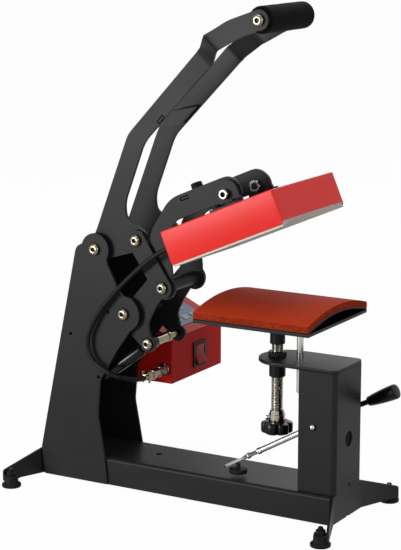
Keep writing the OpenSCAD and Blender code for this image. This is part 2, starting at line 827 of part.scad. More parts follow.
module handle_grip() {
    color("black") translate([-grip_in, grip_y, grip_z]) rotate([0, 90, 0]) rotate_extrude()
        polygon(rounded([[grip_tube_r, 0, 0], [grip_r, 0, 2], [grip_r, grip_len, 2],
            [grip_tube_r, grip_len, 0]]));
}

module handle_tube() {
    color("silver") difference() {
        x_bar([grip_y, grip_z], grip_tube_r, -grip_in, grip_in);
        x_bar([grip_y, grip_z], hole_r, -grip_in - lap, grip_in + lap);
    }
}

module handle_bolts() {
    color("tan") both_sides() {
        x_bar([grip_y, grip_z], bolt_r, -grip_out - 1, 25 - grip_out);
        x_head([grip_y, grip_z], -grip_out, head_r, head_h);
        x_bar(pb, bolt_r, -link_out - 1, nut_h + 1 - arm_in);
        x_head(pb, -link_out - side_gap, head_r, head_h);
        x_nut(pb, -arm_in, nut_h, nut_w, hole_r);
    }
}

// One link, drawn on the left
module link() {
    slope = atan2(pb[1] - pd[1], pb[0] - pd[0]);
    difference() {
        x_plate(-link_out, arm_t) polygon(rounded(concat(lobe(pb, link_w / 2, slope + 90,
            slope - 90), lobe(pd, link_w / 2, slope - 90, slope - 270))));
        x_bar(pb, bolt_r + open_gap, -panel_out, 0);
        x_bar(pd, hole_r, -panel_out, 0);
    }
}

module link_left() {
    color("dimgray") link();
}

module link_right() {
    color("dimgray") mirror([1, 0, 0]) link();
}

// Outline of a carrier plate: an arm over the heater, and a rocker round the pivots
module carrier_outline() {
    arm_low = heater_top + 7.6;
    arm_high = heater_top + 34.7;
    rear_edge = heater_rear + 6;
    difference() {
        polygon(rounded(concat([closed_corner(lug_y - 18.5, heater_top + 4, 6),
            closed_corner(lug_y - 18.5, arm_high, 18), closed_corner(rear_edge - 8, arm_high, 45),
            closed_corner(rear_edge + 36, heater_top + 4, 40),
            from(pd, 16.3, 15.5, 12), from((pc + pd) / 2, 12.3, 8.5, 8)],
            lobe(pc, 18, 108, -75), lobe(pe, 10.5, -20, -252),
            [from(pe, 0.5, 24, 12), from(pe, -9, 44, 10)], lobe(pd, 15, -69, -223),
            [from(pd, -11, 16, 4), closed_corner(rear_edge + 14, heater_top - 18, 30),
            closed_corner(rear_edge - 2, arm_low, 16), closed_corner(lug_y + 12, arm_low, 6),
            closed_corner(lug_y + 8, heater_top + 4, 3)])));
        for (p = [pc, pd, pe, opened([lug_y, lug_z])]) translate(p) circle(r = hole_r);
    }
}

module carrier_plate() {
    difference() {
        x_plate(-arm_out, arm_t) carrier_outline();
        open_pose() translate([-arm_out - lap, cross_y - 5.1, cross_z - 0.05])
            cube([arm_t + 2 * lap, 10.2, 3.1]);
    }
}

module carrier_plate_left() {
    color("dimgray") carrier_plate();
}

module carrier_plate_right() {
    color("dimgray") mirror([1, 0, 0]) carrier_plate();
}

module carrier_cross_plate() {
    color("dimgray") open_pose() {
        translate([-arm_in, cross_y - 20, cross_z]) cube([2 * arm_in, 40, 3]);
        translate([-arm_out, cross_y - 5, cross_z]) cube([2 * arm_out, 10, 3]);
    }
}

module carrier_stop_knob() {
    color("black") open_pose() translate([0, cross_y, cross_z + 3]) rotate_extrude()
        polygon(rounded([[0, 0, 0], [5.5, 0, 0], [5.5, 3, 0], [7, 3.5, 0.3], [7, 13, 2],
            [0, 13, 0]]));
}

module carrier_tube() {
    color("black") difference() {
        x_bar(pd, 8, -arm_in, arm_in);
        x_bar(pd, hole_r, -arm_out, arm_out);
    }
}

module carrier_bolts() {
    color("tan") {
        both_sides() {
            x_bar(pd, bolt_r, -link_out - 1, 20 - link_out);
            x_head(pd, -link_out - side_gap, head_r, head_h);
        }
        x_bar(pe, bolt_r, -arm_out - 1, arm_out + nut_h + 1);
        x_head(pe, -arm_out, head_r, head_h);
        x_nut(pe, arm_out, nut_h, nut_w, hole_r);
    }
}

module shaft_sleeve() {
    start = eye_w / 2 + side_gap - spring_x;
    color("silver") difference() {
        translate([start, pe[0], pe[1]]) rotate([0, 90, 0]) rotate_extrude()
            polygon([[0, 0], [6.5, 0], [5.5, 28], [6.5, 28], [6.5, 33], [0, 33]]);
        x_bar(pe, hole_r, start - lap, arm_out);
    }
}

module heater_cover() {
    half = heater_w / 2;
    color("red") open_pose() difference() {
        translate([-half, heater_front, heater_side_z])
            cube([heater_w, heater_len, heater_top - heater_side_z]);
        translate([cover_t - half, heater_front + cover_t, heater_side_z - lap])
            cube([heater_w - 2 * cover_t, heater_len - 2 * cover_t,
                heater_top - cover_t - heater_side_z + lap]);
        translate([cover_t - half, heater_front - lap, heater_side_z - lap])
            cube([heater_w - 2 * cover_t, heater_len + 2 * lap,
                heater_end_z - heater_side_z + lap]);
        translate([-cable_x, heater_rear - 5, cable_z]) rotate([-90, 0, 0])
            cylinder(r = cable_r + 1.5, h = 10);
        at_heater_screws() translate([0, 0, heater_top - 5]) cylinder(r = 3 + fit, h = 10);
    }
}

// Draws its children at the four screws that hold the lugs and the heated plate
module at_heater_screws() {
    for (x = [-1, 1], y = [-12, 12])
        translate([x * (link_out + 9), lug_y + y, 0]) children();
}

module heater_lugs() {
    color("dimgray") open_pose() both_sides() difference() {
        union() {
            x_plate(-link_out, arm_t) {
                translate([lug_y, lug_z]) circle(r = 17);
                polygon([[lug_y - 19, heater_top], [lug_y - 14, lug_z + 9],
                    [lug_y + 14, lug_z + 9], [lug_y + 19, heater_top]]);
            }
            translate([-link_out - 16, lug_y - 19, heater_top]) cube([17, 38, foot_t]);
        }
        x_plate(-link_out - lap, arm_t + 2 * lap) translate([lug_y - 30, heater_top - 20])
            square([60, 20]);
        x_bar([lug_y, lug_z], hole_r, -2 * link_out, 0);
        at_heater_screws() translate([0, 0, heater_top - lap]) cylinder(r = 3 + fit, h = 10);
    }
}

module heater_pivot_bolts() {
    p = [lug_y, lug_z];
    color("silver") open_pose() both_sides() {
        x_bar(p, bolt_r, -link_out - 1, nut_h + 1 - nut_out);
        difference() {
            x_bar(p, 6, -link_out - 7, -link_out);
            translate([-link_out - 8, p[0], p[1]]) rotate([0, 90, 0])
                cylinder(d = 7, h = 5, $fn = 6);
        }
        x_nut(p, -nut_out, nut_h, nut_w, hole_r);
    }
}

module heater_screws() {
    color("silver") open_pose() at_heater_screws() {
        translate([0, 0, heater_top + foot_t]) cylinder(r = 5, h = 4);
        translate([0, 0, hot_top - 8]) cylinder(r = 3, h = heater_top + foot_t + 9 - hot_top);
    }
}

module heated_plate() {
    half = heater_w / 2 - cover_t - 0.3;
    color("lightgray") open_pose() difference() {
        y_prism(heater_front + cover_t + 0.3, heater_rear - cover_t - 0.3) difference() {
            translate([-half, hot_crest - 30]) square([2 * half, hot_top - hot_crest + 30]);
            translate([0, hot_crest - hot_r]) circle(r = hot_r, $fn = 360);
        }
        at_heater_screws() translate([0, 0, hot_top - 9]) cylinder(r = 3 + fit, h = 10);
    }
}

// A hairpin of the tubular heating element
module hairpin(x, w, y0, y1) {
    translate([x, 0, 0]) {
        for (s = [-w / 2, w / 2]) translate([s, y0, 0]) rotate([-90, 0, 0])
            cylinder(r = element_r, h = y1 - y0);
        translate([0, y0, 0]) rotate([0, 0, 180]) rotate_extrude(angle = 180)
            translate([w / 2, 0]) circle(r = element_r);
    }
}

module heating_element() {
    color("gray") open_pose() translate([0, 0, hot_top + element_r + 0.1])
        for (x = [-22, 22]) hairpin(x, 28, heater_front + 30, heater_rear - 22);
}

module insulation_board() {
    low = hot_top + 2 * element_r + 0.3;
    color("ivory") open_pose() difference() {
        translate([-heater_w / 2 + 5, heater_front + 5, low])
            cube([heater_w - 10, heater_len - 10, heater_top - cover_t - low]);
        at_heater_screws() translate([0, 0, low - lap]) cylinder(r = 3 + fit, h = 20);
    }
}

module cable_grommet() {
    color("black") open_pose() translate([-cable_x, heater_rear - 5, cable_z])
        rotate([-90, 0, 0]) {
            translate([0, 0, 5]) cylinder(r = 5.5, h = grommet_len);
            translate([0, 0, 5 - cover_t]) cylinder(r = cable_r + 1.4, h = cover_t + lap);
        }
}

module platen_plate() {
    color("dimgray") translate([-pad_w / 2, pad_front, platen_z])
        cube([pad_w, pad_len, platen_t]);
}

// A shell of the pad's curve between two radii, above the platen plate
module pad_shell(r0, r1) {
    y_prism(pad_front, pad_front + pad_len) intersection() {
        translate([0, pad_crest - pad_r]) difference() {
            circle(r = r1, $fn = 360);
            circle(r = r0, $fn = 360);
        }
        translate([-pad_w / 2, platen_z + platen_t]) square([pad_w, pad_r]);
    }
}

module platen_arch() {
    color("dimgray") pad_shell(pad_r - pad_t - arch_t, pad_r - pad_t);
}

module silicone_pad() {
    color("brown") pad_shell(pad_r - pad_t, pad_r);
}

module platen_sleeve() {
    color("black") translate([0, spindle_y, column_top + 14.5]) difference() {
        cylinder(r = spindle_r + 2, h = platen_z - column_top - 14.5);
        translate([0, 0, -lap])
            cylinder(r = spindle_r + fit, h = platen_z - column_top - 18.5 + lap);
    }
}

module guide_rod() {
    end = column_top - 41.7;
    color("silver") translate([0, rod_y, end]) rotate_extrude()
        polygon([[0, 0], [rod_r - 1, 0], [rod_r, 1], [rod_r, platen_z - end],
            [0, platen_z - end]]);
}

module spindle() {
    hub_top = knob_z + 23.4;
    color("silver") translate([0, spindle_y, 0]) {
        translate([0, 0, hub_top + 5]) cylinder(r = spindle_r, h = platen_z - hub_top - 13.2);
        translate([0, 0, knob_z + 4]) cylinder(r = 3, h = hub_top - knob_z + 2);
        rotate([0, 0, 120]) translate([3 + fit, 0, hub_top - 4.8]) rotate([0, 90, 0])
            cylinder(r = 2, h = 7.5);
    }
}

module star_knob() {
    hub_h = 9.7;
    star_h = 13.7;
    color("black") translate([0, spindle_y, knob_z]) difference() {
        union() {
            linear_extrude(star_h) {
                circle(r = knob_r - 4.5);
                for (i = [0 : knob_lobes - 1]) rotate(360 * i / knob_lobes)
                    translate([knob_r - 5.5, 0]) circle(r = 5.5);
            }
            cylinder(r = 10, h = star_h + hub_h);
        }
        translate([0, 0, 3.9]) cylinder(r = 3 + fit, h = 30);
        rotate([0, 0, 120]) translate([0, 0, star_h + 4.9]) rotate([0, 90, 0])
            cylinder(r = 2 + fit, h = 20);
    }
}

// Frames at the lever's shaft, with Y along the rear arm or the front grip
module on_rear_arm() {
    translate([-lever_arm_x, lever_y, lever_z]) rotate([-lever_slope, 0, 0]) children();
}

module on_front_grip() {
    translate([lever_grip_x, lever_y, lever_z]) rotate([180 - lever_rise, 0, 0]) children();
}

// A bar along Y in a lever frame
module y_bar(r, y0, y1) {
    translate([0, y0, 0]) rotate([-90, 0, 0]) cylinder(r = r, h = y1 - y0);
}

module lever_arm() {
    out = column_w / 2;
    tube_end = lever_len - 52;
    color("silver") {
        x_bar([lever_y, lever_z], bolt_r, -out - 3.5, lever_grip_x + 4.5);
        x_bar([lever_y, lever_z], 6, -out - 3.5, -out - 0.2);
        x_bar([lever_y, lever_z], 7, -lever_arm_x - 4.5, -lever_arm_x + 4.5);
        x_bar([lever_y, lever_z], 6.5, out + 0.3, lever_grip_x + 4.5);
        on_rear_arm() {
            y_bar(lever_tube_r, 0, tube_end);
            y_bar(3, tube_end - 5, lever_len - 28);
            translate([0, lever_len - 41, 0]) rotate([-90, 0, 0])
                cylinder(d = 11, h = 5, $fn = 6);
            translate([-4.5, lever_len - 33, -1.5]) cube([9, 33, 3]);
        }
        on_front_grip() y_bar(3, 0, lever_reach - 36);
    }
}

module lever_grip() {
    color("black") on_front_grip() rotate([-90, 0, 0]) difference() {
        rotate_extrude() polygon(rounded([[0, lever_reach - 40, 0],
            [5.5, lever_reach - 40, 1], [6.4, lever_reach - 32, 10],
            [grip_tip_r, lever_reach - 12, 12], [grip_tip_r, lever_reach, grip_end_r],
            [0, lever_reach, 0]]));
        translate([0, 0, lever_reach - 41]) cylinder(r = 3 + fit, h = 5.1);
    }
}

module lever_pad() {
    gap = 4.5;
    puck_h = 6;
    stem_top = lever_lift - 3.6;
    color("black") translate([-lever_arm_x, lever_y + pad_reach * cos(lever_slope), channel_top]) {
        translate([0, 0, gap]) rotate_extrude()
            polygon(rounded([[0, 0, 0], [lever_pad_r, 0, 1.5], [lever_pad_r, puck_h, 1.5],
                [0, puck_h, 0]]));
        translate([0, 0, gap + puck_h - 1.5]) cylinder(r = 2.5, h = stem_top - gap - puck_h + 1.5);
    }
}

// Frame of the gas spring, Y from the upper eye to the lower one
module on_spring() {
    translate([-spring_x, pe[0], pe[1]]) rotate([spring_angle, 0, 0]) children();
}

module gas_cylinder() {
    color("black") on_spring() difference() {
        union() {
            x_bar([0, 0], 8, -eye_w / 2, eye_w / 2);
            y_bar(eye_w / 2 - 0.1, 0, 18);
            y_bar(spring_r, 16, 106);
        }
        x_bar([0, 0], hole_r, -eye_w, eye_w);
        y_bar(spring_rod_r + fit, 45, 107);
    }
}

module gas_rod() {
    color("silver") on_spring() difference() {
        union() {
            y_bar(spring_rod_r, 70, spring_len - 6);
            translate([0, spring_len, 0]) x_bar([0, 0], 9, -eye_w / 2, eye_w / 2);
        }
        translate([0, spring_len, 0]) x_bar([0, 0], bolt_r + open_gap, -eye_w, eye_w);
    }
}

place() base_channel();
place() column();
place() column_top_plate();
place() rear_bracket();
place() side_panel_left();
place() side_panel_right();
place() back_panel();
place() rubber_feet();
place() foot_bolts();
place() pivot_bushes();
place() pivot_bolts();
place() spindle_nut();
place() lock_ring();
place() gas_spring_bracket();
place() control_box_shell();
place() control_box_lid();
place() control_membrane();
place() switch_housing();
place() mains_inlet();
place() control_board();
place() box_screws();
place() heater_socket();
place() heater_plug();
place() heater_cable();
place() handle_arm_left();
place() handle_arm_right();
place() handle_cross_plate();
place() handle_grip();
place() handle_tube();
place() handle_bolts();
place() link_left();
place() link_right();
place() carrier_plate_left();
place() carrier_plate_right();
place() carrier_cross_plate();
place() carrier_stop_knob();
place() carrier_tube();
place() carrier_bolts();
place() shaft_sleeve();
place() heater_cover();
place() heater_lugs();
place() heater_pivot_bolts();
place() heater_screws();
place() heated_plate();
place() heating_element();
place() insulation_board();
place() cable_grommet();
place() platen_plate();
place() platen_arch();
place() silicone_pad();
place() platen_sleeve();
place() guide_rod();
place() spindle();
place() star_knob();
place() lever_arm();
place() lever_grip();
place() lever_pad();
place() switch_rocker();
place() gas_cylinder();
place() gas_rod();
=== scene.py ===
# %% [markdown]
# # A heat press for caps
# The press comes packed as solids with true sizes and joints. This lesson dresses them: sheet metal
# gets its rounded edges and its paint, and the pad, grip, cable, threads and knobs are made anew as
# surfaces from numpy. Lengths are in the machine's millimetres until the last moment.

import bmesh
import bpy
import numpy as np
from mathutils import Matrix


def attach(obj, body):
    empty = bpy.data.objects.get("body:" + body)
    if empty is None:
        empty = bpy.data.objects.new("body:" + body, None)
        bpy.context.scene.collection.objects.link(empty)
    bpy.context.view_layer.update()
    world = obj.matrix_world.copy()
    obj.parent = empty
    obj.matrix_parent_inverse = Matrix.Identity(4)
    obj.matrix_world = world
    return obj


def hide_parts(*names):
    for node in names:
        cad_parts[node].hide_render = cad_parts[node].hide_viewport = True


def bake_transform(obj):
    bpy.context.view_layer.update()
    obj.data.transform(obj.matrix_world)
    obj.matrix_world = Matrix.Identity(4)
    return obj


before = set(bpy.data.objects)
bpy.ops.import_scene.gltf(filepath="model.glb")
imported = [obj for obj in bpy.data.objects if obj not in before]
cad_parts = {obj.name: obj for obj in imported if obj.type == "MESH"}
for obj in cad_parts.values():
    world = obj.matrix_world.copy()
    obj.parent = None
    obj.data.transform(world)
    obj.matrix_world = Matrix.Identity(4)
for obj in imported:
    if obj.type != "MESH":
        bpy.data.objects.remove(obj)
scene = bpy.context.scene
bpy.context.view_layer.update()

# %% [markdown]
# The machine was drawn from its middle plane and its front feet. The row's origin is the middle of
# the footprint, so one function moves points there and turns them into metres. The press was drawn
# shut, and opening it turns the heater about the carrier's pivot, so two more functions do that.

# %% Two places to measure from
MIDDLE = np.array([32.15, 204.985, 0.0])
OPEN_ANGLE = np.radians(23.13)
PIVOT_A = np.array([332.0, 300.5])
PIVOT_B = np.array([275.5, 316.0])
PIVOT_C = np.array([291.6, 225.0])
PIVOT_D = np.array([239.0, 262.0])
PIVOT_E = np.array([262.5, 190.0])
PIVOT_F = np.array([388.0, 98.0])
BOTH_SIDES = (-1, 1)
PANEL_OUT, LINK_OUT, ARM_OUT, ARM_IN, NUT_OUT = 44.5, 41.2, 36.5, 32.5, 32.2


def row(points):
    """Machine millimetres to metres from the row's origin: subtract the middle, divide by 1000."""
    return (np.asarray(points, float) - MIDDLE) / 1000


def about_x(points, pivot, angle):
    """Points turned by an angle about a line along X through the pivot [y, z]."""
    points = np.asarray(points, float)
    y, z = points[..., 1] - pivot[0], points[..., 2] - pivot[1]
    c, s = np.cos(angle), np.sin(angle)
    return np.stack([points[..., 0], pivot[0] + y * c - z * s, pivot[1] + y * s + z * c], -1)


def opened(points):
    """Points of the shut press, turned about the carrier's pivot by the opening angle."""
    return about_x(points, PIVOT_C, -OPEN_ANGLE)


# %% [markdown]
# A long lens far away draws the machine with little perspective, as a product photographer does.
# The three directions of the camera become the columns of its rotation.

# %% The camera
FOCAL_PX, WIDTH_PX, SENSOR_MM = 1878, 401, 36.0
CAMERA_AT = [-1896.0, -899.7, 727.9]
RIGHT = (0.50528, -0.86295, 0.0)
UP = (0.1747, 0.1023, 0.9793)
BACK = (-0.84509, -0.49482, 0.20244)
camera = bpy.data.objects.new("camera", bpy.data.cameras.new("camera"))
camera.data.sensor_fit = "HORIZONTAL"
camera.data.sensor_width = SENSOR_MM
camera.data.lens = SENSOR_MM * FOCAL_PX / WIDTH_PX
camera.data.clip_end = 50.0
turn = Matrix((RIGHT, UP, BACK)).transposed().to_4x4()
camera.matrix_world = Matrix.Translation(row(CAMERA_AT)) @ turn
scene.collection.objects.link(camera)
scene.camera = camera
scene.view_settings.view_transform = "Standard"
print("lens", round(camera.data.lens, 1), "mm")

# %% [markdown]
# Every finish below is a small tree of nodes, so one function adds a node, sets what it is told
# and makes its links. Colours are read off a colour card as sRGB hex and turned to linear light.

# %% Nodes and colours
DRIFT_MM = 70


def add(tree, kind, sockets, **settings):
    """A shader node of that kind: settings by name, and each socket gets a value, another node's
    output, or another node, whose first output it takes."""
    node = tree.nodes.new("ShaderNode" + kind)
    for name, value in settings.items():
        setattr(node, name, value)
    for name, value in sockets.items():
        value = value.outputs[0] if isinstance(value, bpy.types.Node) else value
        if isinstance(value, bpy.types.NodeSocket):
            tree.links.new(value, node.inputs[name])
        else:
            node.inputs[name].default_value = value
    return node


def linear(code):
    """sRGB hex to linear colour: c / 12.92 near black, else ((c + 0.055) / 1.055) ** 2.4."""
    c = np.array([int(code[i:i + 2], 16) for i in (1, 3, 5)]) / 255
    light = np.where(c <= 0.04045, c / 12.92, ((c + 0.055) / 1.055) ** 2.4)
    return (*light.tolist(), 1.0)


def finish(name, dark, light, grain_mm, rough, relief_mm=0.0, metal=0.0, spread=0.06,
           stretch=(1.0, 1.0, 1.0), lean=0.0, kind="noise", shine=0.5):
    """A surface whose tone and relief follow a pattern of the grain's size, and whose roughness
    drifts by spread; lean turns the pattern about X, and shine is 0.5 for a plain dielectric."""
    material = bpy.data.materials.new(name)
    material.use_nodes = True
    tree = material.node_tree
    shader = tree.nodes["Principled BSDF"]
    shader.inputs["Metallic"].default_value = metal
    shader.inputs["Specular IOR Level"].default_value = shine
    place = add(tree, "TexCoord", {})
    # a Mapping of the texture kind turns first and then divides by its scale
    at = add(tree, "Mapping", {"Vector": place.outputs["Object"], "Rotation": (lean, 0.0, 0.0),
                               "Scale": [1 / s for s in stretch]}, vector_type="TEXTURE")
    sized = {"Vector": at, "Scale": 1000 / grain_mm}
    if kind == "cells":
        grain = add(tree, "TexVoronoi", sized)
    else:
        grain = add(tree, "TexNoise", {**sized, "Detail": 3.0, "Roughness": 0.6})
    # slow drift over a hand's width, as on any sprayed or moulded face
    drift = add(tree, "TexNoise", {"Vector": at, "Scale": 1000 / DRIFT_MM, "Detail": 2.0})
    both = add(tree, "Math", {0: grain, 1: drift}, operation="ADD")
    share = add(tree, "MapRange", {"Value": both, "From Min": 0.4, "From Max": 1.6})
    tone = add(tree, "Mix", {0: share, 6: linear(dark), 7: linear(light)}, data_type="RGBA")
    tree.links.new(tone.outputs[2], shader.inputs["Base Color"])
    gloss = add(tree, "MapRange", {"Value": drift, "From Min": 0.1, "From Max": 0.9,
                                   "To Min": rough - spread, "To Max": rough + spread})
    tree.links.new(gloss.outputs[0], shader.inputs["Roughness"])
    if relief_mm:
        bump = add(tree, "Bump", {"Height": grain, "Strength": 1.0,
                                  "Distance": relief_mm / 1000})
        tree.links.new(bump.outputs[0], shader.inputs["Normal"])
    return material


# %% [markdown]
# The frame is steel sheet with a baked powder coat. Powder melts into a skin that is nearly even,
# with a texture of about a millimetre, and it scatters highlights softly. The heater's cover and
# the box have an enamel that was sprayed wet, so its grain is wider and almost flat. A black paint
# mirrors a white room and turns grey in it, so every dark finish has a shine far below 0.5.

# %% Paints
powder_coat = finish("black_powder_coat_on_steel", "#111112", "#1d1d1e", 0.9, 0.42, 0.02,
                     shine=0.09)
# blackened steel for nuts and sleeves; in the screw recesses and on the washers it is painted shade
blackened_and_shade = finish("blackened_steel_and_painted_shade", "#0b0b0b", "#141414", 1.2, 0.36, 0.01, shine=0.08)
red_enamel = finish("red_enamel_on_steel", "#b41713", "#c01e18", 2.4, 0.42, 0.002, shine=0.2,
                    spread=0.02)
box_enamel = finish("dark_red_enamel_on_steel", "#981311", "#a41815", 2.4, 0.36, 0.002,
                    shine=0.03, spread=0.02)
gloss_black = finish("gloss_black_stoving_enamel", "#080809", "#0e0e0f", 2.0, 0.16, 0.001,
                     shine=0.14)

# %% [markdown]
# Nickel plate is a warm grey metal and hard chrome a cold one. A white room mirrors evenly in
# metal, so the light and dark mottling of the nickel and the chrome is painted reflection. Turned
# steel keeps the marks of the tool, and those are drawn as a noise that is squeezed along one axis.
# The lever's bar is polished by hand along its length, and its light and dark streaks are painted
# reflections that lean as the bar does. The dark of the thread's grooves is painted shade.

# %% Metals
nickel_painted_reflections = finish("nickel_plate_painted_reflections", "#544c41", "#948976", 2.6, 0.2, 0.01, metal=1.0)
bright_steel = finish("turned_bright_steel", "#8f8e8a", "#c9c8c4", 0.6, 0.2, 0.006, metal=1.0,
                      stretch=(0.2, 0.2, 1.5))
bar_painted_reflections = finish("round_bar_painted_reflections", "#5a5a5a", "#e6e5e2", 5.0, 0.16, metal=1.0,
                      stretch=(1.0, 0.04, 1.0), lean=np.radians(-29.5))
# the hub's tall light and dark streaks are a painted highlight and painted reflections
hub_painted_highlight = finish("steel_hub_painted_highlight", "#4a4036", "#e4dccc", 4.0, 0.2, 0.004, metal=1.0,
                   stretch=(1.0, 1.0, 0.08))
thread_steel = finish("rolled_thread_steel", "#a09c94", "#cfccc4", 5.0, 0.22, metal=1.0)
# painted shade for the grooves of the thread
thread_groove_shade = finish("painted_thread_groove_shade", "#47433d", "#5a564f", 1.0, 0.4, metal=0.8)
chrome_painted_reflections = finish("hard_chrome_painted_reflections", "#8a8c90", "#d4d5d7", 6.0, 0.1, metal=1.0, spread=0.03)
hot_plate = finish("coated_cast_aluminium", "#8f8a83", "#a39e95", 1.4, 0.5, 0.01, metal=0.2,
                   shine=0.2)
dull_steel = finish("heat_dulled_steel_sheath", "#5f5750", "#7d746a", 1.0, 0.5, 0.02, metal=1.0)

# %% [markdown]
# The pad is silicone sponge with a skin, so it is matt. Its cut edge shows open cells, which are
# drawn 2.2 mm wide, because the real ones are finer than a pixel. The grip is closed-cell foam
# rubber, whose cut cells show as fine pits. Knobs are phenolic plastic, hard and a little glossy,
# and the feet are plain moulded rubber.

# %% Rubbers, foams and plastics
silicone = finish("silicone_sponge_rubber", "#96290d", "#a83414", 0.7, 0.72, 0.03, shine=0.06)
cut_silicone = finish("cut_silicone_sponge", "#3c0d06", "#82280f", 2.2, 0.85, 0.12, kind="cells",
                      shine=0.04)
foam = finish("closed_cell_foam_rubber", "#040404", "#0b0b0b", 0.9, 0.8, 0.06, kind="cells",
              shine=0.04)
moulded_rubber = finish("moulded_black_rubber", "#0a0a0a", "#131313", 1.0, 0.6, 0.02, shine=0.08)
jacket = finish("silicone_cable_jacket", "#060607", "#0d0d0e", 1.6, 0.4, 0.01, shine=0.1)
phenolic = finish("black_phenolic_plastic", "#060607", "#0c0c0d", 1.5, 0.26, 0.004, shine=0.12)
moulded_abs = finish("black_moulded_abs", "#0a0a0b", "#111112", 0.8, 0.4, 0.015, shine=0.1)
red_lens = finish("red_polycarbonate_lens", "#740608", "#93090c", 2.0, 0.14, shine=0.1)
film = finish("printed_polyester_film", "#20415c", "#2a4c68", 6.0, 0.22, shine=0.06)
pale_film = finish("pale_polyester_window", "#57656f", "#687680", 6.0, 0.2, shine=0.08)
fibre_board = finish("pressed_mineral_fibre", "#d4cdbc", "#e4dece", 1.1, 0.9, 0.1)
laminate = finish("green_glass_epoxy_laminate", "#1c4a2c", "#245a36", 1.0, 0.4, 0.01)

# %% [markdown]
# Shapes come as shells: an array of points and a list of faces. A piece joins shells, merges the
# points that coincide at seams and poles, turns the faces outwards and rides on a body.

# %% Shells and pieces
CREASE = np.radians(34)


def grid_shell(points, wrap=(False, True)):
    """A grid of points [u, v] as quads between neighbours; wrap says which of its two directions
    joins its last line to its first."""
    rows, columns = points.shape[:2]
    i, j = np.meshgrid(np.arange(rows - (not wrap[0])), np.arange(columns - (not wrap[1])),
                       indexing="ij")
    k, m = (i + 1) % rows, (j + 1) % columns
    quads = np.stack([i * columns + j, i * columns + m, k * columns + m, k * columns + j], -1)
    return points.reshape(-1, 3), quads.reshape(-1, 4)


def piece(name, shells, body, material, stands_for=(), crease=CREASE, second=None):
    """One object from shells in machine millimetres, riding on a body and standing for nodes. A
    shell's third entry, if it has one, says which of its faces take the second material."""
    starts = np.cumsum([0] + [len(shell[0]) for shell in shells])
    points = np.concatenate([shell[0] for shell in shells])
    faces = [face for shell, start in zip(shells, starts) for face in (shell[1] + start).tolist()]
    kinds = [np.zeros(len(shell[1])) + (shell[2] if len(shell) > 2 else 0) for shell in shells]
    mesh = bpy.data.meshes.new(name)
    mesh.from_pydata(row(points).tolist(), [], faces)
    mesh.polygons.foreach_set("material_index", np.concatenate(kinds).astype(np.int32))
    form = bmesh.new()
    form.from_mesh(mesh)
    bmesh.ops.remove_doubles(form, verts=form.verts, dist=2e-6)
    bmesh.ops.dissolve_degenerate(form, edges=form.edges, dist=1e-7)
    bmesh.ops.recalc_face_normals(form, faces=form.faces)
    form.to_mesh(mesh)
    form.free()
    mesh.shade_smooth()
    mesh.set_sharp_from_angle(angle=crease)
    made = dress(name, mesh, body, material, stands_for)
    if second:
        mesh.materials.append(second)
    return made


def dress(name, mesh, body, material, stands_for):
    """An object for a finished mesh: its material, its body, and the solids that it stands for."""
    made = bpy.data.objects.new(name, mesh)
    scene.collection.objects.link(made)
    mesh.materials.append(material)
    if body:
        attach(made, body)
    if stands_for:
        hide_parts(*stands_for)
    return made


def unit(v):
    """Vectors over their lengths, v / |v|."""
    return v / np.linalg.norm(v, axis=-1, keepdims=True)


def basis(axis):
    """Two unit vectors across an axis, by crossing it with the row's least parallel direction."""
    axis = unit(axis)
    first = unit(np.cross(np.eye(3)[np.argmin(np.abs(axis))], axis))
    return axis, first, np.cross(axis, first)


def angles(sides):
    """Equal steps round a full turn, along the second direction of a grid."""
    return (np.arange(sides) * 2 * np.pi / sides)[None, :, None]


def carried(h, r, start, axis, sides, closed=False):
    """A grid round an axis: P(t, a) = start + h axis + r (cos a e1 + sin a e2)."""
    axis, e1, e2 = basis(axis)
    around = np.cos(angles(sides)) * e1 + np.sin(angles(sides)) * e2
    return grid_shell(np.asarray(start, float) + h * axis + r * around, (closed, True))


def turned(profile, start, axis=(0, 0, 1), sides=48):
    """A turned solid: its profile of h and r goes once round, and a pole closes each end."""
    h, r = np.asarray(profile, float).T[:, :, None, None]
    ends = ((1, 1), (0, 0), (0, 0))
    return carried(np.pad(h, ends, "edge"), np.pad(r, ends), start, axis, sides)


def ring(profile, start, axis=(0, 0, 1), sides=48):
    """A turned ring: its closed profile of h and r goes once round the axis."""
    h, r = np.asarray(profile, float).T[:, :, None, None]
    return carried(h, r, start, axis, sides, closed=True)


def swept(path, radius, across, sides=16):
    """A tube: at each station a circle in the plane of n = across less its share along the tangent,
    and of b = t x n. Its ends close on the path."""
    tangent = unit(np.gradient(path, axis=0))
    n = unit(across - (tangent @ across)[:, None] * tangent)
    b = np.cross(tangent, n)
    path, n, b = (np.pad(v, ((1, 1), (0, 0)), "edge")[:, None] for v in (path, n, b))
    r = np.pad(np.full((len(path) - 2, 1, 1), radius), ((1, 1), (0, 0), (0, 0)))
    circle = np.cos(angles(sides)) * n + np.sin(angles(sides)) * b
    return grid_shell(path + r * circle)


def through(points, steps):
    """A smooth line through points, by the Catmull-Rom formula with mirrored ends."""
    p = np.asarray(points, float)
    p = np.concatenate([[2 * p[0] - p[1]], p, [2 * p[-1] - p[-2]]])
    t = (np.arange(steps) / steps)[None, :, None]
    a, b, c, d = (p[i:len(p) - 3 + i, None] for i in range(4))
    line = 0.5 * (2 * b + (c - a) * t + (2 * a - 5 * b + 4 * c - d) * t ** 2
                  + (3 * b - a - 3 * c + d) * t ** 3)
    return np.concatenate([line.reshape(-1, 3), p[-2:-1]])


# %% [markdown]
# The heater's cable leaves a boot at the cover's rear, hangs in a bow beside the frame and turns
# into the box's round connector. A curve object would do, but the cable has to bend between two
# bodies as the press shuts, so it is a mesh tube along a smooth line through chosen points.

